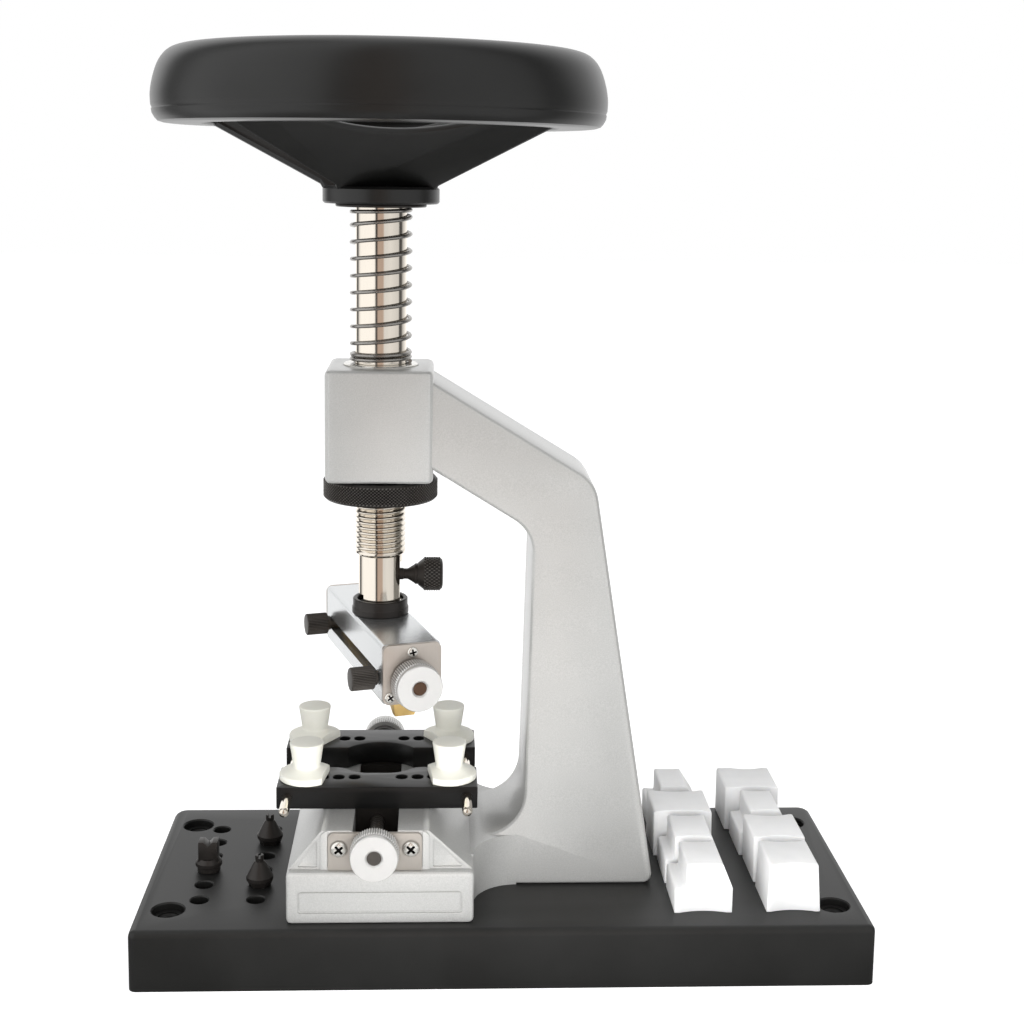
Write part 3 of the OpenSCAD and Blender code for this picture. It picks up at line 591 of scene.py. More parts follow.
def makeArm(v, a):
    slope, lean, footX, innerX, webZ, topZ, lowZ = a.values()
    right = axisX + v["headWidth"] / 2
    cornerX = (footX - lean * (topZ + slope * right - baseTop)) / (1 - lean * slope)
    outline = roundedOutline([
        (right - 3, topZ + 3 * slope), (right - 3, lowZ + 3 * slope),
        (innerX - 0.2, lowZ - slope * (innerX - right), 12.6), (innerX - 2.1, webZ, 15),
        (bedRight - 8, webZ), (bedRight - 8, baseTop), (footX, baseTop, 3),
        (cornerX, topZ - slope * (cornerX - right), 13)], 12)
    deep, shallow = v["footDepth"], v["armDepth"]
    arm = slab(outline, axisY - deep / 2, axisY + deep / 2, "y")
    for vertex in arm.data.vertices:  # the sides lean in towards the top
        share = (vertex.co.z / mm - baseTop) / (topZ + 5 - baseTop)
        half = deep / 2 - share * (deep - shallow) / 2
        vertex.co.y = (axisY + math.copysign(half, vertex.co.y / mm - axisY)) * mm
    return roundEdges(arm, v["edge"], 3)


def makeBed(v):
    half = v["railWidth"] / 2
    block = slab(boxOutline(v["bedWidth"], v["blockHeight"], 1.7,
                            (bedMiddle, baseTop + v["blockHeight"] / 2), 3),
                 blockFront, bedRear, "y")
    roundEdges(block, 1.1, 3)
    wedge = slab(roundedOutline([
        (bedLeft + 1, blockTop - 3), (bedRight - 1, blockTop - 3), (bedRight - 0.6, blockTop),
        (axisX + half + 0.2, railTop, 1.2), (axisX - half - 0.2, railTop, 1.2),
        (bedLeft + 0.6, blockTop)], 4), bedFront + 1, bedRear - 1, "y")
    pockets = []
    for side in (-1, 1):  # the hollow triangle on each side of the end plate, front and back
        outer = bedLeft if side < 0 else bedRight
        inner = axisX + side * (half + 1.6)
        outline = roundedOutline([(outer - side * 3.4, blockTop + 0.6, 0.4),
                                  (inner, blockTop + 0.6, 0.4), (inner, railTop - 2.6, 0.4)], 3)
        pockets.append(slab(outline, bedFront - 1, bedFront + 1.8, "y"))
        pockets.append(slab(outline, bedRear - 1.8, bedRear + 1, "y"))
    combine(wedge, [joined(pockets)])
    roundEdges(wedge, 0.35, angle=40)
    frames = []
    for low, high, cut in ((bedFront + 0.3, bedFront + 7, (bedFront - 1.7, bedFront + 1.4)),
                           (bedRear - 7, bedRear - 0.3, (bedRear - 1.4, bedRear + 1.7))):
        left, right = axisX - half - 0.5, axisX + half + 0.5
        rim = slab(roundedOutline([(left, blockTop - 1), (right, blockTop - 1),
                                   (right, railTop, 2.4), (left, railTop, 2.4)]), low, high, "y")
        left, right = axisX - 15.2, axisX + 15.2
        inside = slab(roundedOutline([(left, blockTop + 0.5, 0.6), (right, blockTop + 0.5, 0.6),
                                      (right, railTop + 4), (left, railTop + 4)], 3), *cut, "y")
        combine(rim, [inside])
        frames.append(roundEdges(rim, 0.45, angle=40))
    return combine(block, [wedge] + frames, "UNION")


def makeBlend(v):
    # a hollow curve from the upright's front and back into the bed's side
    parts = []
    r, half = v["blend"], v["footDepth"] / 2
    for side in (-1, 1):
        arc = [(bedRight + r - r * math.cos(math.radians(a)),
                axisY + side * (half - 0.35 + r - r * math.sin(math.radians(a))))
               for a in range(0, 91, 6)]
        near = axisY + side * (half - 3)
        outline = [(bedRight - 3, near), (bedRight - 3, axisY + side * (half + r))]
        parts.append(slab(outline + arc + [(bedRight + r, near)], baseTop, blockTop + 0.3))
    return parts


def makeHead(v):
    block = slab(boxOutline(v["headWidth"], v["headDepth"], 2.3, (axisX, axisY), 3),
                 v["headLow"], headTop)
    return roundEdges(block, 1.8, 3)


def makeFrame(v):
    cast = makeBed(v)
    combine(cast, [makeArm(v, armValues)] + makeBlend(v) + [makeHead(v)], "UNION")
    low, top = v["headLow"], headTop
    bore = atAxis(turned([(0, low - 1), (11.6, low - 1), (11.05, low + 0.5), (11.05, top - 1.4),
                          (12.45, top - 1.4), (12.45, top - 0.4), (12.8, top + 0.01),
                          (12.8, top + 1), (0, top + 1)], 64))
    channel = bar(axisX - v["channel"] / 2, axisX + v["channel"] / 2, railTop - 12, railTop + 1,
                  bedFront - 2, bedRear + 2, "y")
    middle = (bedMiddle, baseTop + 7.4)
    panel = slab(boxOutline(52.8, 7.6, 0.9, middle), blockFront - 1, blockFront + 0.4, "y")
    pad = slab(boxOutline(51.6, 6.4, 0.5, middle), blockFront - 2, blockFront + 0.6, "y")
    combine(panel, [pad])
    sunk = slab(boxOutline(51.4, 6.2, 0.5, middle), blockFront - 1, blockFront + 0.12, "y")
    under = repeated(plug(2.55, 19, 30.5, 24), screwSpots)
    taps = [place(plug(1.25, -1, 12, 20), (axisX + x, y, plateScrewZ), (0, way, 0))
            for x in (-plateScrewX, plateScrewX) for y, way in ((bedFront, 1), (bedRear, -1))]
    combine(cast, [bore, channel, panel, sunk, under] + taps)
    deliver(cast, "castFrame", "stand", silverPaint, "frame_casting", 25)


def makeBush(v):
    low, top = v["headLow"], headTop
    bush = turned([(spindleBore + 0.4, low + 0.2), (10.7, low + 0.2), (11, low + 0.5),
                   (11, top - 1.4), (12.4, top - 1.4), (12.4, top + 0.3), (12.1, top + 0.6),
                   (spindleBore + 0.5, top + 0.6), (spindleBore, top + 0.1),
                   (spindleBore, low + 0.6)], 72)
    deliver(atAxis(bush), "spindleBush", "stand", brightScrew)


def makeBaseScrews():
    screw = turned([(0, 1.6), (4.2, 1.6), (4.5, 1.9), (4.5, 6), (2.5, 6), (2.5, 29.6), (2.1, 30),
                    (0, 30)], 32)
    combine(screw, [plug(2.3, 0, 4.1, 6)])
    deliver(repeated(screw, screwSpots), "baseScrews", "stand", blackOxide)


makeFrame(castValues)
makeBush(castValues)
makeBaseScrews()
print("frame made")


# The handwheel
wheelValues = {"rimRadius": 73.8, "rimLow": 274.4, "rimWidth": 17, "rimHeight": 23,
               "hubLow": 248.4, "hubRadius": 19.2, "turned": 12, "webTilt": 49.6,
               "webThick": 3.2, "webFrontWider": 2, "webRearWider": 3.8,
               "hollow": 75.6, "hollowAngle": 93.2, "hollowY": 97.9}


def makeWheel(v):
    r, h, inner = v["rimRadius"], v["rimHeight"], v["rimRadius"] - v["rimWidth"]
    low, hub = v["hubLow"], v["hubRadius"]
    dome = throughPoints([(r - 0.1, 4.6), (r, 8), (r - 0.6, 12), (r - 1.9, 16.4), (r - 3.6, 19.6),
                          (r - 6, 21.9), (r - 9, h), (r - 12, h), (inner + 3, h - 0.6),
                          (inner + 0.9, h - 3), (inner, h - 7), (inner, 3), (inner + 0.4, 0),
                          (inner + 1.4, -1.1)], 5)
    foot = [(r - 5, -1.1), (r - 3.6, -0.95), (r - 2.2, -0.5), (r - 1.3, 0.5), (r - 0.5, 1.9),
            (r - 0.3, 3.1), (r - 0.5, 3.6)]
    wheel = turned([(a, v["rimLow"] + b) for a, b in foot + dome], 160)
    parts = [place(turned([(0, 0), (hub - 0.6, 0), (hub, 0.6), (hub, 4.8), (hub - 0.8, 5.6),
                           (12.6, 5.6), (11.4, 6.6), (11.4, 14.6), (11, 15), (0, 15)], 96),
                   (0, 0, low))]
    arc = []
    for k in range(41):  # the webs' hollow upper edge
        angle = math.radians(-90 + v["hollowAngle"] * (0.5 - k / 40))
        arc.append((math.cos(angle) * v["hollow"], v["hollowY"] + math.sin(angle) * v["hollow"]))
    for turn, wider in ((v["turned"], v["webFrontWider"]), (v["turned"] + 180, v["webRearWider"])):
        side = [(13.5 + wider, -4), (15 + wider, 0), (52 + wider, 27.2), (62, 46)]
        outline = [(-x, y) for x, y in side[:1]] + side + arc + [(-x, y) for x, y in side[:0:-1]]
        web = roundEdges(slab(outline, -v["webThick"], 0), 1.3)
        web.matrix_world = (Matrix.Rotation(math.radians(turn), 4, "Z")
                            @ Matrix.Translation(Vector((0, -12, low + 5.6)) * mm)
                            @ Matrix.Rotation(math.radians(180 - v["webTilt"]), 4, "X"))
        bakePlace(web)
        parts.append(combine(web, [plug(62, low + 0.5, v["rimLow"] + 17, 96)], "INTERSECT"))
    combine(wheel, parts, "UNION")
    combine(wheel, [turned([
        (0, low - 1), (9.2, low - 1), (8.62, low + 0.5), (8.62, low + 9.6), (6.02, low + 9.6),
        (6.02, low + 12.6), (9, low + 12.6), (9, low + 14.7), (9.3, low + 15.01),
        (9.3, low + 17), (0, low + 17)], 64)])
    deliver(atAxis(wheel), "handWheel", "spindle", wheelPlastic, "handwheel", 28)


def makeCap():
    cap = turned([(6.02, 0), (8.95, 0), (8.95, 1.6), (8.5, 2), (6.3, 2), (6.02, 1.7)], 64)
    deliver(atAxis(cap, 261), "wheelCap", "spindle", blackOxide)
    bolt = turned([(0, -8), (2.6, -8), (2.95, -7.6), (2.95, 0), (6.3, 0), (6.5, 0.2), (6.5, 5.5),
                   (6, 6), (0, 6)], 48)
    combine(bolt, [plug(3.5, 3, 7, 6)])
    deliver(atAxis(bolt, 263), "wheelBolt", "spindle", brightScrew)


makeWheel(wheelValues)
makeCap()
print("wheel made")


# Spindle, stop ring, thumb screw and spring
spindleValues = {"low": 130.7, "high": 258, "shank": 7.45, "shankLow": 113.4, "thumbHole": 123.2,
                 "pitch": 1.75, "threadHigh": 156, "threadDepth": 0.7}


def makeSpindle(v):
    r, s, low, high, foot = spindleRadius, v["shank"], v["low"], v["high"], v["shankLow"]
    profile = [(4.5, foot + 0.3), (4.8, foot), (s - 0.5, foot), (s, foot + 0.5), (s, low - 0.4),
               (s + 0.4, low), (r - 0.5, low)]
    profile += rows(r, low + 0.5, v["threadHigh"], 140)
    profile += rows(r, v["threadHigh"] + 1, high - 0.5, 12) + [(r - 0.5, high)]
    profile += [(6, high), (6, 262.5), (5.6, 262.9), (3, 262.9), (3, 254), (0, 254), (0, 127),
                (4.5, 127)]
    shaft = turned(profile, 80)
    threaded(shaft, r, low + 0.2, v["threadHigh"], v["pitch"], v["threadDepth"])
    hole = place(plug(2.05, 0, 12, 32), (0, 0, v["thumbHole"]), (1, 0, 0))
    flat = bar(s - 0.8, s + 4, -6, 6, 114, 128)
    notch = bar(-s - 1, 2.2 - s, -5, 5, 112, 117)
    combine(shaft, [hole, flat, notch])
    deliver(atAxis(shaft), "spindleShaft", "spindle", nickelPlate)


ringValues = {"radius": 19.3, "low": 149.9, "band": (1, 6.2), "crossings": 10, "teeth": 96,
              "depth": 0.6}


def makeStopRing(v):
    r, bore = v["radius"], spindleBore
    ring = turned([(bore + 0.4, 0), (18.4, 0), (19, 0.6)] + rows(r, *v["band"], v["crossings"])
                  + [(18.9, 6.7), (18.3, 7.28), (bore + 0.4, 7.28), (bore, 6.9), (bore, 0.4)],
                  2 * v["teeth"])
    diamondKnurl(ring, r, *v["band"], v["crossings"], v["teeth"], v["depth"])
    deliver(atAxis(ring, v["low"]), "stopRing", "stop_ring", blackOxide, smooth=20)


thumbValues = {"radius": 5.8, "band": (10.4, 15.2), "crossings": 6, "teeth": 28, "depth": 0.5}


def makeThumbScrew(v):
    screw = turned([(0, 0), (1.6, 0), (2, 0.4), (2, 3), (1.8, 3.1), (1.8, 4.4), (2.1, 5),
                    (3.1, 6.6), (3.5, 7), (3.55, 7.9), (3.9, 8.1), (5.2, 9.7), (5.6, 10.1)]
                   + rows(v["radius"], *v["band"], v["crossings"])
                   + [(5.5, 15.5), (4.9, 16.2), (3.4, 16.55), (0, 16.6)], 2 * v["teeth"])
    diamondKnurl(screw, v["radius"], *v["band"], v["crossings"], v["teeth"], v["depth"])
    place(screw, (axisX + 4.8, axisY, spindleValues["thumbHole"]), (1, 0, 0))
    deliver(screw, "thumbScrew", "thumb_screw", blackOxide, smooth=20)


springValues = {"coil": 9.75, "wire": 0.65, "working": 8.2, "closedLow": 2, "closedHigh": 1,
                "low": 195.6, "high": 247.3, "travel": 12.5, "parts": 24}


def makeSpring(v):
    low, high = v["low"] + v["wire"], v["high"] - v["wire"]
    coil, near, far = 2 * v["wire"] + 0.2, v["closedLow"], v["closedHigh"]
    total = v["working"] + near + far

    def height(t):
        if t < near:
            return low + coil * t
        if t > total - far:
            return high - coil * (total - t)
        share = (t - near) / v["working"]
        return low + coil * near + share * (high - low - coil * (near + far))

    line = bpy.data.curves.new("springLine", "CURVE")
    line.dimensions = "3D"
    wire = line.splines.new("POLY")
    wire.points.add(int(total * v["parts"]))
    for k, point in enumerate(wire.points):
        t = k / v["parts"]
        point.co = ((v["coil"] * math.cos(math.tau * t) + axisX) * mm,
                    (v["coil"] * math.sin(math.tau * t) + axisY) * mm, height(t) * mm, 1)
    line.bevel_depth = v["wire"] * mm
    line.bevel_resolution = 3
    line.use_fill_caps = True
    spring = bpy.data.objects.new("returnSpring", line)
    bpy.context.scene.collection.objects.link(spring)
    makeActive(spring)
    bpy.ops.object.convert(target="MESH")
    spring = cleanUp(bpy.context.object)
    deliver(spring, "returnSpring", "stand", springSteel, smooth=60)
    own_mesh(spring)


def makeSpringWasher():
    washer = turned([(spindleBore, 0), (14.7, 0), (15, 0.3), (15, 0.7), (14.7, 1),
                     (spindleBore, 1)], 80)
    deliver(atAxis(washer, springValues["high"]), "springWasher", "spindle", blackOxide)


makeSpindle(spindleValues)
makeStopRing(ringValues)
makeThumbScrew(thumbValues)
makeSpring(springValues)
makeSpringWasher()
print("spindle made")


# The turning head, built along X round the spindle's axis and then turned
toolValues = {"yaw": 17, "length": 76, "width": 19.4, "height": 19.6, "top": 109.8,
              "screw": 97.7, "screwRadius": 2.2, "pitch": 1.5, "channel": 11, "plate": 1.6,
              "plateEdge": 0.22, "jawOut": 28.2, "lockShift": 4.4, "lockRadius": 3.8}
toolLow = toolValues["top"] - toolValues["height"]
toolMiddle = (0, toolLow + toolValues["height"] / 2)
toolScrewSpots = [(0, toolValues["top"] - 2.6), (-7.4, toolLow + 2.6), (7.4, toolLow + 2.6)]
headTurn = Matrix.Rotation(math.radians(toolValues["yaw"] - 90), 4, "Z")


def toHead(piece):
    piece.matrix_world = Matrix.Translation(Vector((axisX, axisY, 0)) * mm) @ headTurn
    return bakePlace(piece)


def handKnob(radius, height, bore, teeth=60):
    # a straight knurl behind a plain disc, the outer face at the top
    low, high, disc = 0.4, height - 3, radius * 0.96
    knob = turned([(bore, 0.2), (bore + 0.2, 0), (radius - 0.5, 0)] + rows(radius, low, high, 2)
                  + [(radius * 0.93, high + 0.45), (radius * 0.9, high + 0.65),
                     (radius * 0.945, height - 2.2), (disc, height - 1.9), (disc, height - 0.4),
                     (radius * 0.93, height), (bore + 0.6, height), (bore, height - 0.6)],
                  2 * teeth)
    return straightKnurl(knob, radius, low, high, teeth, 0.38)


def makeToolShank(v):
    top = v["top"]
    shank = turned([(0, top), (9.3, top), (9.6, top + 0.3), (9.6, top + 2.1), (9.35, top + 2.4),
                    (9.3, top + 2.6), (9.3, top + 4.95), (8.95, top + 5.3), (8.1, top + 5.3),
                    (7.8, top + 5), (7.8, top + 3.4), (4.45, top + 3.4), (4.45, top + 15.8),
                    (4, top + 16.2), (0, top + 16.2)], 72)
    deliver(atAxis(shank), "toolShank", "turning_head", blackOxide)


def makeToolBody(v):
    half = v["length"] / 2
    body = slab(boxOutline(v["width"], v["height"], 1.2, toolMiddle, 4), -half, half, "x")
    roundEdges(body, 0.25)
    channel = bar(-v["channel"] / 2, v["channel"] / 2, toolLow - 1, toolLow + 13.6, -40, 40, "x")
    slot = slab(boxOutline(68.8, 4, 1.9, (0, v["screw"]), 6), -v["width"], -2, "y")
    taps = [place(plug(0.95, 0, 9, 16), (x * (half + 0.5), y, z), (-x, 0, 0))
            for x in (-1, 1) for y, z in toolScrewSpots]
    combine(body, [channel, slot, joined(taps)])
    deliver(toHead(body), "toolBody", "turning_head", bodyAlloy, smooth=8)


def makeToolPlates(v):
    half, outer = v["length"] / 2, v["length"] / 2 + v["plate"]
    for side, name in ((1, "Front"), (-1, "Rear")):
        low, high = sorted((side * half, side * outer))
        plate = slab(boxOutline(v["width"], v["height"], 2.2, toolMiddle, 6), low, high, "x")
        roundEdges(plate, v["plateEdge"])
        spots = [(2.25, 0, v["screw"])] + [(0.95, y, z) for y, z in toolScrewSpots]
        holes = [place(plug(r, -3, 3), (side * half, y, z), (side, 0, 0)) for r, y, z in spots]
        combine(plate, [joined(holes)])
        deliver(toHead(plate), "toolPlate" + name, "turning_head", endPlateSteel)
    screws = [place(crossScrew(1.8, 0.9, 0.9, 6, roll), (x * outer, y, z), (x, 0, 0))
              for x in (-1, 1) for (y, z), roll in zip(toolScrewSpots, (12, 33, 60))]
    deliver(toHead(joined(screws)), "toolPlateScrews", "turning_head", brightScrew)


def makeToolScrew(v):
    outer, r = v["length"] / 2 + v["plate"], v["screwRadius"]
    long = 2 * outer + 9
    low, high = v["plate"] + 0.2, v["length"] + v["plate"] - 1.7
    screw = turned([(0, 0), (1.9, 0), (r, 0.3), (r, 0.6), (r, low), (3.8, low), (3.8, low + 1.5)]
                   + rows(r, low + 1.5, high, 170) + [(3.8, high), (3.8, high + 1.5),
                   (r, high + 1.5), (r, long - 0.3), (1.8, long), (0, long)], 24)
    threaded(screw, r, low + 1.6, high - 0.1, v["pitch"], 0.3)
    place(screw, (-outer, 0, v["screw"]), (1, 0, 0))
    deliver(toHead(screw), "toolScrew", "head_screw", brownScrew)
    knob = place(handKnob(7.8, 7.8, 2.22), (outer + 1.4, 0, v["screw"]), (1, 0, 0))
    middle = headTurn @ Vector((44, 0, v["screw"])) + Vector((axisX, axisY, 0))
    face = makeKnobAlloy("toolKnobAlloy", (1, 1, 1), middle)
    deliver(toHead(knob), "toolKnob", "head_screw", face)


def makeBrass(v):
    half, z = v["width"] / 2, v["screw"]
    wide, foot, r = v["channel"] / 2 - 0.1, toolLow + 2, v["lockRadius"]
    for side, name, long in ((1, "Front", 9.2), (-1, "Rear", 9.09)):
        x = side * v["jawOut"]
        lockX = x + side * v["lockShift"]
        jaw = slab(boxOutline(12, 11.8, 0.3, (x, toolLow + 7.4), 2), -wide, wide, "y")
        lug = slab([(x + side * a, foot + b) for a, b in (
            (-4.5, 0), (4.8, 0), (4.8, -4.4), (2.6, -9.2), (-0.2, -9.2), (-4.5, -3))][::side],
            -5, 5, "y")
        taper = slab([(y, foot + b) for y, b in (
            (-4.8, 0.01), (4.8, 0.01), (4.8, -2), (3.3, -9.2), (-3.3, -9.2), (-4.8, -2))],
            x - 6, x + 6, "x")
        combine(lug, [taper], "INTERSECT")
        combine(jaw, [roundEdges(lug, 0.3, angle=25)], "UNION")
        bore = place(plug(2.3, -8, 8, 32), (x, 0, z), (1, 0, 0))
        tap = place(plug(1.5, 0, 8, 24), (lockX, 0, z), (0, -1, 0))
        combine(jaw, [bore, tap])
        deliver(toHead(jaw), "brassJaw" + name, "brass_" + name.lower(), brassBar)
        low, high, end = half + 1.7, half + long - 0.4, half + long
        knob = turned([(0, 3), (1.2, 3), (1.45, 3.25), (1.45, half + 0.3), (2.5, half + 0.35),
                       (2.5, half + 1.3), (3.4, half + 1.35)] + rows(r, low, high, 2)
                      + [(3.5, end - 0.1), (2.6, end), (0, end)], 84)
        straightKnurl(knob, r, low, high, 42, 0.22)
        place(knob, (lockX, 0, z), (0, -1, 0))
        deliver(toHead(knob), "lockKnob" + name, "lock_" + name.lower(), knobGrey,
                smooth=20)


makeToolShank(toolValues)
makeToolBody(toolValues)
makeToolPlates(toolValues)
makeToolScrew(toolValues)
makeBrass(toolValues)
print("turning head made")


# The vise
viseValues = {"length": 66.4, "depth": 18.5, "thick": 7.5, "gap": 18.2, "seat": 14.6,
              "pegHole": 2, "pegFirst": 7.9, "pegPitch": 5.3, "screw": 45, "screwRadius": 2.3,
              "pitch": 1.5, "rodX": 29.6, "rodRadius": 1.7, "rodOut": 13, "knob": 7.9}
jawLow = railTop + 0.1
jawTop = jawLow + viseValues["thick"]
jawNear, jawFar = viseValues["gap"] / 2, viseValues["gap"] / 2 + viseValues["depth"]
rodSpots = [(axisX + side * viseValues["rodX"], axisY, jawLow + viseValues["thick"] / 2)
            for side in (-1, 1)]


def jawOutline(v, side):
    near, far, half = jawNear, jawFar, v["length"] / 2
    if side < 0:  # the front jaw's seat flares softly into its edge
        return roundedOutline([
            (-half, near, 0.5), (-12.9, near, 6), (-6.4, 14.4, 8), (6.4, 14.4, 8),
            (12.9, near, 6), (half, near, 0.5), (half, far, 0.5), (-half, far, 0.5)])
    reach = math.acos(near / v["seat"])
    arc = [(v["seat"] * math.sin(a), v["seat"] * math.cos(a))
           for a in [-reach + 2 * reach * k / 28 for k in range(29)]]
    return [(0.5 - half, near)] + arc + [
        (half - 0.5, near), (half, near + 0.5), (half, far - 0.5), (half - 0.5, far),
        (0.5 - half, far), (-half, far - 0.5), (-half, near + 0.5)]


def makeJaws(v):
    hole, rim = v["pegHole"], v["pegHole"] + 0.25
    # the rods run freely in the front jaw and end in the rear one
    for side, name, rodHole, reach in ((-1, "Front", 1.75, 60), (1, "Rear", 1.7, jawFar - 2)):
        body, middle = "jaw_" + name.lower(), axisY + side * (jawNear + jawFar) / 2
        outline = [(axisX + x, axisY + side * y) for x, y in jawOutline(v, side)]
        jaw = roundEdges(slab(outline, jawLow, jawTop), 0.4)
        holes = turned([(0, -1), (hole, -1), (hole, 7.3), (rim, 7.51), (rim, 9), (0, 9)], 28)
        holes = repeated(holes, [(axisX + s * (v["pegFirst"] + k * v["pegPitch"]), middle, jawLow)
                                 for s in (-1, 1) for k in range(4)])
        rods = place(plug(rodHole, 0, reach), (0, 0, 0), (0, side, 0))
        combine(jaw, [holes, repeated(rods, rodSpots)])
        deliver(jaw, "viseJaw" + name, body, jawAnodised)
        nut = slab(boxOutline(castValues["channel"] - 0.2, 11.6, 0.4, (axisX, jawLow - 5.8), 2),
                   middle - 7, middle + 7, "y")
        combine(nut, [place(plug(2.35, -9, 9), (axisX, middle, v["screw"]), (0, 1, 0))])
        deliver(nut, "jawNut" + name, body, blackOxide)
    low, end, r = -(jawFar + v["rodOut"]), jawFar - 2, v["rodRadius"]
    rod = turned([(0, low), (0.6, low + 0.08), (1.1, low + 0.35), (1.45, low + 0.85),
                  (1.65, low + 1.5), (r, low + 2.2), (r, end), (0, end)], 32)
    rods = repeated(place(rod, (0, 0, 0), (0, 1, 0)), rodSpots)
    deliver(rods, "guideRods", "jaw_rear", nickelPlate)


def makeViseScrew(v):
    z, r = v["screw"], v["screwRadius"]
    knobY = {"Front": bedFront - 2.4, "Rear": bedRear + 5}
    start = knobY["Front"] - 6.6
    long = knobY["Rear"] + 6.4 - start
    front, rear = bedFront + 1.6 - start, bedRear - 3.4 - start
    screw = turned([(0, 0), (1.9, 0), (r, 0.4), (r, front), (4.3, front), (4.3, front + 1.8)]
                   + rows(r, front + 1.8, rear, 200) + [(4.3, rear), (4.3, rear + 1.8),
                   (r, rear + 1.8), (r, long - 0.4), (1.9, long), (0, long)], 24)
    threaded(screw, r, front + 1.9, rear - 0.1, v["pitch"], 0.3)
    place(screw, (axisX, start, z), (0, 1, 0))
    deliver(screw, "viseScrew", "vise_spindle", greyScrew)
    for side, name in ((-1, "Front"), (1, "Rear")):
        spot = (axisX, knobY[name], z)
        knob = place(handKnob(v["knob"], 6.8, 2.32), spot, (0, side, 0))
        face = makeKnobAlloy("viseKnobAlloy" + name, (1, 0, 1), spot)
        deliver(knob, "viseKnob" + name, "vise_spindle", face)
    collar = turned([(2.32, 0.2), (2.5, 0), (5.8, 0), (6.15, 0.35), (6.15, 3.4), (5.8, 3.8),
                     (2.5, 3.8), (2.32, 3.6)], 48)
    place(collar, (axisX, bedRear + 1, z), (0, 1, 0))
    deliver(collar, "viseCollar", "vise_spindle", blackOxide, "vise_collar_rear")


plateValues = {"half": 15.1, "drop": 12.85, "thick": 1.8, "edge": 0.22, "set": 1.4}


def makeVisePlates(p):
    screws = []
    left, right = axisX - p["half"], axisX + p["half"]
    low, high = railTop - p["drop"], railTop - 0.4
    outline = roundedOutline([(left, low, 0.5), (right, low, 0.5),
                              (right, high, 1.8), (left, high, 1.8)])
    for y, side, name in ((bedFront + p["set"], -1, "Front"), (bedRear - p["set"], 1, "Rear")):
        plate = slab(outline, *sorted((y, y + side * p["thick"])), "y")
        roundEdges(plate, p["edge"])
        holes = [place(plug(r, -4, 4), (axisX + x, y, z), (0, side, 0)) for r, x, z in (
            (2.35, 0, viseValues["screw"]), (1.25, -plateScrewX, plateScrewZ),
            (1.25, plateScrewX, plateScrewZ))]
        # each screw sits in a shallow dished ring
        dishes = [place(turned([(0, 0), (2.7, 0), (2.95, 0.3), (2.95, 2), (0, 2)], 32),
                        (axisX + x, y + side * 1.55, plateScrewZ), (0, side, 0))
                  for x in (-plateScrewX, plateScrewX)]
        combine(plate, [joined(holes), joined(dishes)])
        deliver(plate, "visePlate" + name, "stand", visePlateSteel)
        for x, roll in ((-plateScrewX, 40), (plateScrewX, 48)):
            screws.append(place(crossScrew(2.6, 1.2, 1.2, 9, roll),
                                (axisX + x, y + side * p["thick"], plateScrewZ), (0, side, 0)))
    deliver(joined(screws), "visePlateScrews", "stand", brightScrew)


pegValues = {"disc": 9.15, "flat": 6.4, "foot": 4.55, "head": 5.75,
             "turns": {(-1, -1): -8, (-1, 1): -32, (1, -1): 188, (1, 1): 212}}


def makePegs(v):
    out = viseValues["pegFirst"] + 3 * viseValues["pegPitch"]
    disc, head = v["disc"], v["head"]
    for (sideX, sideY), turn in v["turns"].items():
        holder = turned([(0, -6.5), (1.6, -6.5), (1.95, -6.1), (1.95, 0), (8.9, 0), (disc, 0.25),
                         (disc, 1.7), (8.9, 2.15), (8, 2.5), (6.4, 3.25), (5.2, 3.75),
                         (4.75, 4.1), (v["foot"], 4.6), (4.7, 5.6), (head - 0.1, 12),
                         (head - 0.25, 12.35), (head - 0.6, 12.48), (0, 12.48)], 72)
        cut = bar(v["flat"], v["flat"] + 10, -15, 15, -0.5, 7)
        combine(holder, [swung(cut, turn)])
        roundEdges(holder, 0.2)
        place(holder, (axisX + sideX * out, axisY + sideY * (jawNear + jawFar) / 2, jawTop))
        name = ("Front" if sideY < 0 else "Rear") + ("Left" if sideX < 0 else "Right")
        body = "peg_front" if sideY < 0 else "peg_rear"
        deliver(holder, "peg" + name, body + ("_left" if sideX < 0 else "_right"), pegNylon)


makeJaws(viseValues)
makeViseScrew(viseValues)
makeVisePlates(plateValues)
makePegs(pegValues)
print("vise made")


# Dies and case blocks
stem = [(0, -10), (2.6, -10), (2.95, -9.6), (2.95, 0)]


def makePinDie(name, row):
    die = turned(stem + [(3, 0.01), (3.2, 0.3), (4.3, 2), (4.55, 2.1), (4.55, 3.3), (4.3, 3.5),
                         (2.3, 7.4), (1.7, 8.4), (1.45, 8.5), (1.45, 10.4), (1.25, 10.6),
                         (0, 10.6)], 40)
    hexagon = turned([(0, 0), (3.7, 0.02), (4.4, 1.95), (0, 1.95)], 6)
    combine(die, [hexagon], "UNION")
    combine(die, [bar(-0.45, 0.45, 9.7, 12, -3, 3, "y")])
    place(die, dieSpot(1, row, baseTop))
    deliver(die, "diePin" + name, "die_pin_" + name.lower(), blackOxide)


def makeForkDie():
    die = turned(stem + [(3.6, 0.02), (3.9, 0.3), (3.9, 1.9), (4.35, 2.05), (4.55, 2.3),
                         (4.55, 3.4), (4.3, 3.7), (3.5, 4.8), (0, 4.8)], 40)
    top = slab([(-3.3, 4), (3.3, 4), (3.3, 11), (1.5, 11), (0, 9.5), (-1.5, 11), (-3.3, 11)],
               -2.6, 2.6, "y")
    combine(die, [roundEdges(top, 0.25, angle=30)], "UNION")
    place(die, dieSpot(0, 2, baseTop))
    deliver(die, "dieFork", "die_fork", blackOxide)


makePinDie("Front", 1)
makePinDie("Rear", 4)
makeForkDie()

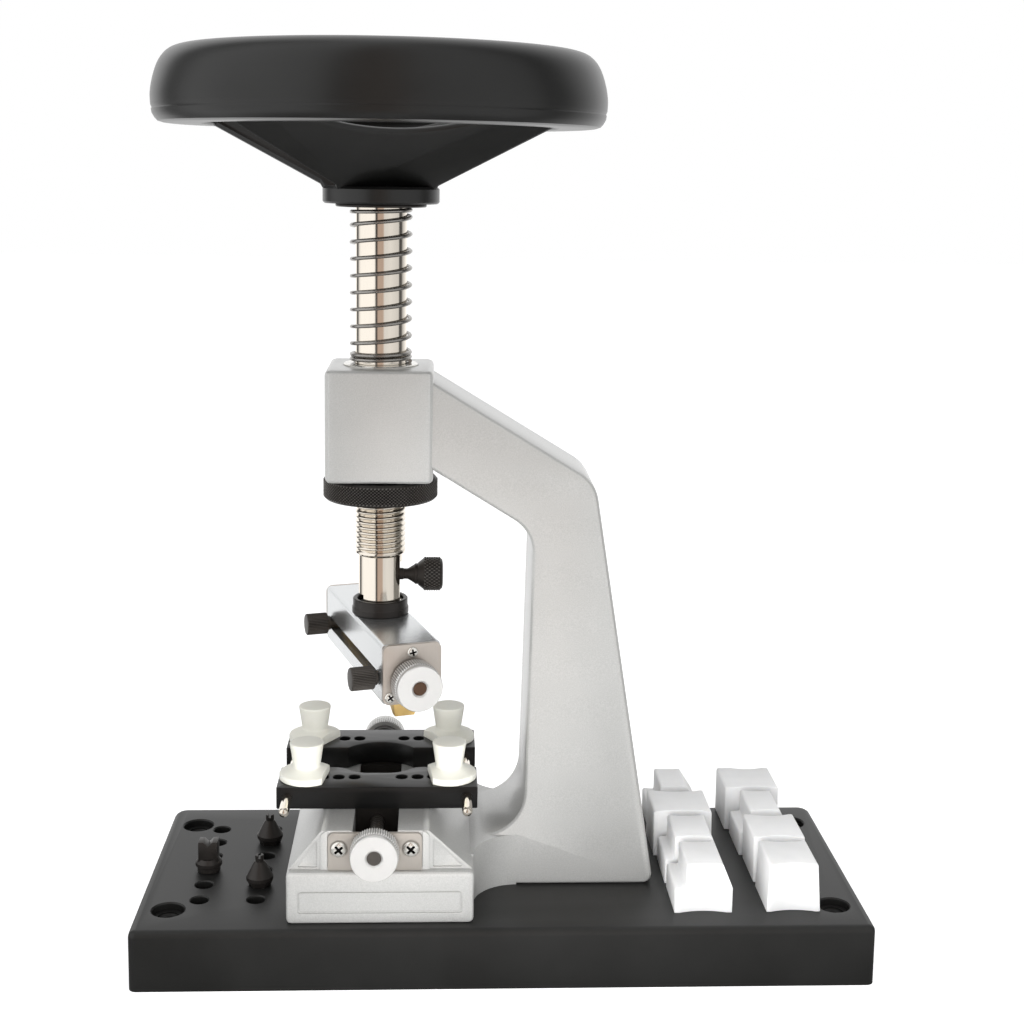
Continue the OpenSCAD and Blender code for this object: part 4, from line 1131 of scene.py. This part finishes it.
# each block has its left, upper left, upper right and right edge, and the radius of its hollow
blockValues = {"depth": 19.5, "height": 16.5, "step": 8.5, "firstRow": -39, "rowPitch": 22.2,
               "columns": {"a": 65.2, "b": 95}, "edge": 0.45, "sag": 1.3, "corner": 0.8,
               "stepped": {"a1": (-9.5, -5.7, 6.2, 9.5, 24), "a2": (-9.6, -6.4, 6.2, 9.5, 20),
                           "a4": (-9.4, -5.3, 4.2, 9.2, 28), "b3": (-9.8, -6.3, 4.4, 8.6, 15)},
               "plain": {"a3": (-10.6, -10.8, 9.8, 10.1, 34), "b1": (-8.9, -8.2, 7.8, 9, 22),
                         "b2": (-9, -9.4, 8.3, 8.8, 18), "b4": (-11.2, -11.2, 8.4, 8.8, 13)}}


def makeBlocks(v):
    high, step, r = v["height"], v["step"], v["corner"]
    for name, (left, topLeft, topRight, right, hollow) in {**v["stepped"], **v["plain"]}.items():
        outline = [(left, 0), (right, 0), (topRight, high, r), (topLeft, high, r)]
        if name in v["stepped"]:
            outline[2:2] = [(right, step, r)]
            outline += [(topLeft, step, r), (left, step, r)]
        block = slab(roundedOutline(outline, 3), 0, v["depth"], "y")
        combine(block, [place(plug(hollow, -2, high + 2, 160), (0, y, 0)) for y in (
            v["sag"] - hollow, v["depth"] - v["sag"] + hollow)])
        roundEdges(block, v["edge"], angle=35)
        row = int(name[1]) - 1
        place(block, (v["columns"][name[0]], v["firstRow"] + row * v["rowPitch"], baseTop))
        deliver(block, "caseBlock" + name.upper(), "block_" + name, blockNylon,
                "block_" + name, 32)


makeBlocks(blockValues)
print("dies and blocks made")


# Floor, light and camera
lightValues = {
    "ambient": 0.45, "white": 1.0, "floorGlow": 0.66, "gain": 1.3, "floor": 0.82,
    "tableNear": 0.34, "tableFar": 0.02,
    # how bright the room is by bearing, for reflections alone
    "screens": [(0.0, 0.95), (0.115, 1.0), (0.135, 0.08), (0.165, 0.08), (0.2, 0.8), (0.23, 0.98),
                (0.41, 0.98), (0.43, 0.9), (0.44, 0.05), (0.456, 0.05), (0.468, 0.44),
                (0.53, 0.44), (0.545, 0.66), (0.62, 0.72), (0.74, 0.6), (0.752, 0.07),
                (0.79, 0.07), (0.82, 0.5), (0.9, 0.95), (1.0, 0.95)],
    "warm": [(0.45, 0), (0.46, 1), (0.53, 1), (0.545, 0)], "warmColour": (1, 0.78, 0.66, 1),
    # each lamp's place in metres, its size and its power
    "lamps": {"lampLeft": ((-0.95, -0.5, 0.75), 0.9, 3.6),
              "lampRight": ((0.95, -0.4, 0.7), 0.9, 2.9),
              "lampFront": ((-0.15, -1.3, 0.75), 0.7, 0.92),
              "lampTop": ((-0.05, 0.15, 1.15), 0.9, 1.75),
              "lampLow": ((0.05, -0.3, 0.05), 0.3, 0.54),
              "lampNear": ((-0.03, -0.21, 0.05), 0.12, 0.25)}}


def grey(level):
    return (level, level, level, 1)


def raysAndPlace(made, where):
    camera = made.node("ShaderNodeLightPath", output="Is Camera Ray")
    glossy = made.node("ShaderNodeLightPath", output="Is Glossy Ray")
    across = made.node("ShaderNodeSeparateXYZ", {}, [where], 0)
    along = made.node("ShaderNodeSeparateXYZ", {}, [where], 1)
    return camera, glossy, across, along


def makeFloor(v):
    deselectAll()
    bpy.ops.mesh.primitive_plane_add(size=8, location=(0, 0, -0.0001))
    floor = bpy.context.object
    floor.name = "paleFloor"
    made = Finish("paleFloor", Roughness=0.9, Specular_IOR_Level=0.1)
    camera, glossy, across, along = raysAndPlace(made, made.spot())
    across, along = across - axisX * mm, along - axisY * mm
    reach = (across * across + along * along) ** 0.5
    far = made.node("ShaderNodeMath", {"operation": "MAXIMUM"}, [
        made.ramp(reach, (0.19, 0), (0.34, 1)), made.ramp(along, (0.05, 0), (0.2, 1))])
    # reflections see a darker table nearby and the room's screens carried on further out
    near = made.mixed(far, grey(v["tableNear"]), grey(v["tableFar"]))
    made.feed("Base Color", made.mixed(glossy, grey(v["floor"]), near))
    room, tint = made.screens(across, along, v)
    glow = made.node("ShaderNodeEmission", {}, {
        "Color": made.mixed(glossy, grey(1), tint),
        "Strength": camera * v["floorGlow"] + room * far * glossy})
    both = made.node("ShaderNodeAddShader", {}, [Feed(made, made.shader.outputs[0]), glow])
    made.tree.links.new(both.socket, made.tree.nodes["Material Output"].inputs["Surface"])
    floor.data.materials.append(made.material)


def makeWorld(v):
    world = bpy.data.worlds.new("studio")
    bpy.context.scene.world = world
    world.use_nodes = True
    made = Finish.__new__(Finish)
    made.tree = world.node_tree
    back = world.node_tree.nodes["Background"]
    camera, glossy, across, along = raysAndPlace(
        made, made.node("ShaderNodeTexCoord", output="Generated"))
    room, tint = made.screens(across, along, v)
    level = camera * v["white"] + (1 - camera) * (glossy * room + (1 - glossy) * v["ambient"])
    made.tree.links.new(level.socket, back.inputs["Strength"])
    made.tree.links.new(made.mixed(glossy, grey(1), tint).socket, back.inputs["Color"])


def makeLamps(v):
    for name, (spot, size, power) in v["lamps"].items():
        deselectAll()
        bpy.ops.object.light_add(type="AREA", location=spot)
        lamp = bpy.context.object
        lamp.name = name
        lamp.data.shape = "DISK"
        lamp.data.size = size
        lamp.data.energy = power
        lamp.visible_camera = False
        lamp.visible_glossy = False  # reflections show the screens alone
        aim = Vector((-0.02, 0, min(0.13, spot[2]))) - Vector(spot)
        lamp.rotation_euler = aim.to_track_quat("-Z", "Y").to_euler()


cameraValues = {"spot": (-23.58, -532.6, 261.3), "yaw": 2.743, "pitch": 8.619, "roll": 0.826,
                "lens": 56.595, "sensor": 36, "shiftY": -0.1, "clip": (0.01, 50)}


def makeCamera(v):
    yaw, pitch, roll = (math.radians(v[key]) for key in ("yaw", "pitch", "roll"))
    ahead = Vector((math.sin(yaw) * math.cos(pitch), math.cos(yaw) * math.cos(pitch),
                    -math.sin(pitch)))
    level = Vector((math.cos(yaw), -math.sin(yaw), 0))
    upright = level.cross(ahead)
    right = math.cos(roll) * level + math.sin(roll) * upright
    up = -math.sin(roll) * level + math.cos(roll) * upright
    deselectAll()
    bpy.ops.object.camera_add()
    camera = bpy.context.object
    turn = Matrix((right, up, -ahead)).transposed()
    camera.matrix_world = Matrix.Translation(Vector(v["spot"]) * mm) @ turn.to_4x4()
    camera.data.sensor_width = v["sensor"]
    camera.data.lens = v["lens"]
    camera.data.shift_y = v["shiftY"]
    camera.data.clip_start, camera.data.clip_end = v["clip"]
    bpy.context.scene.camera = camera


makeFloor(lightValues)
makeWorld(lightValues)
makeLamps(lightValues)
makeCamera(cameraValues)
bpy.context.scene.view_settings.view_transform = "Standard"
print("studio made")
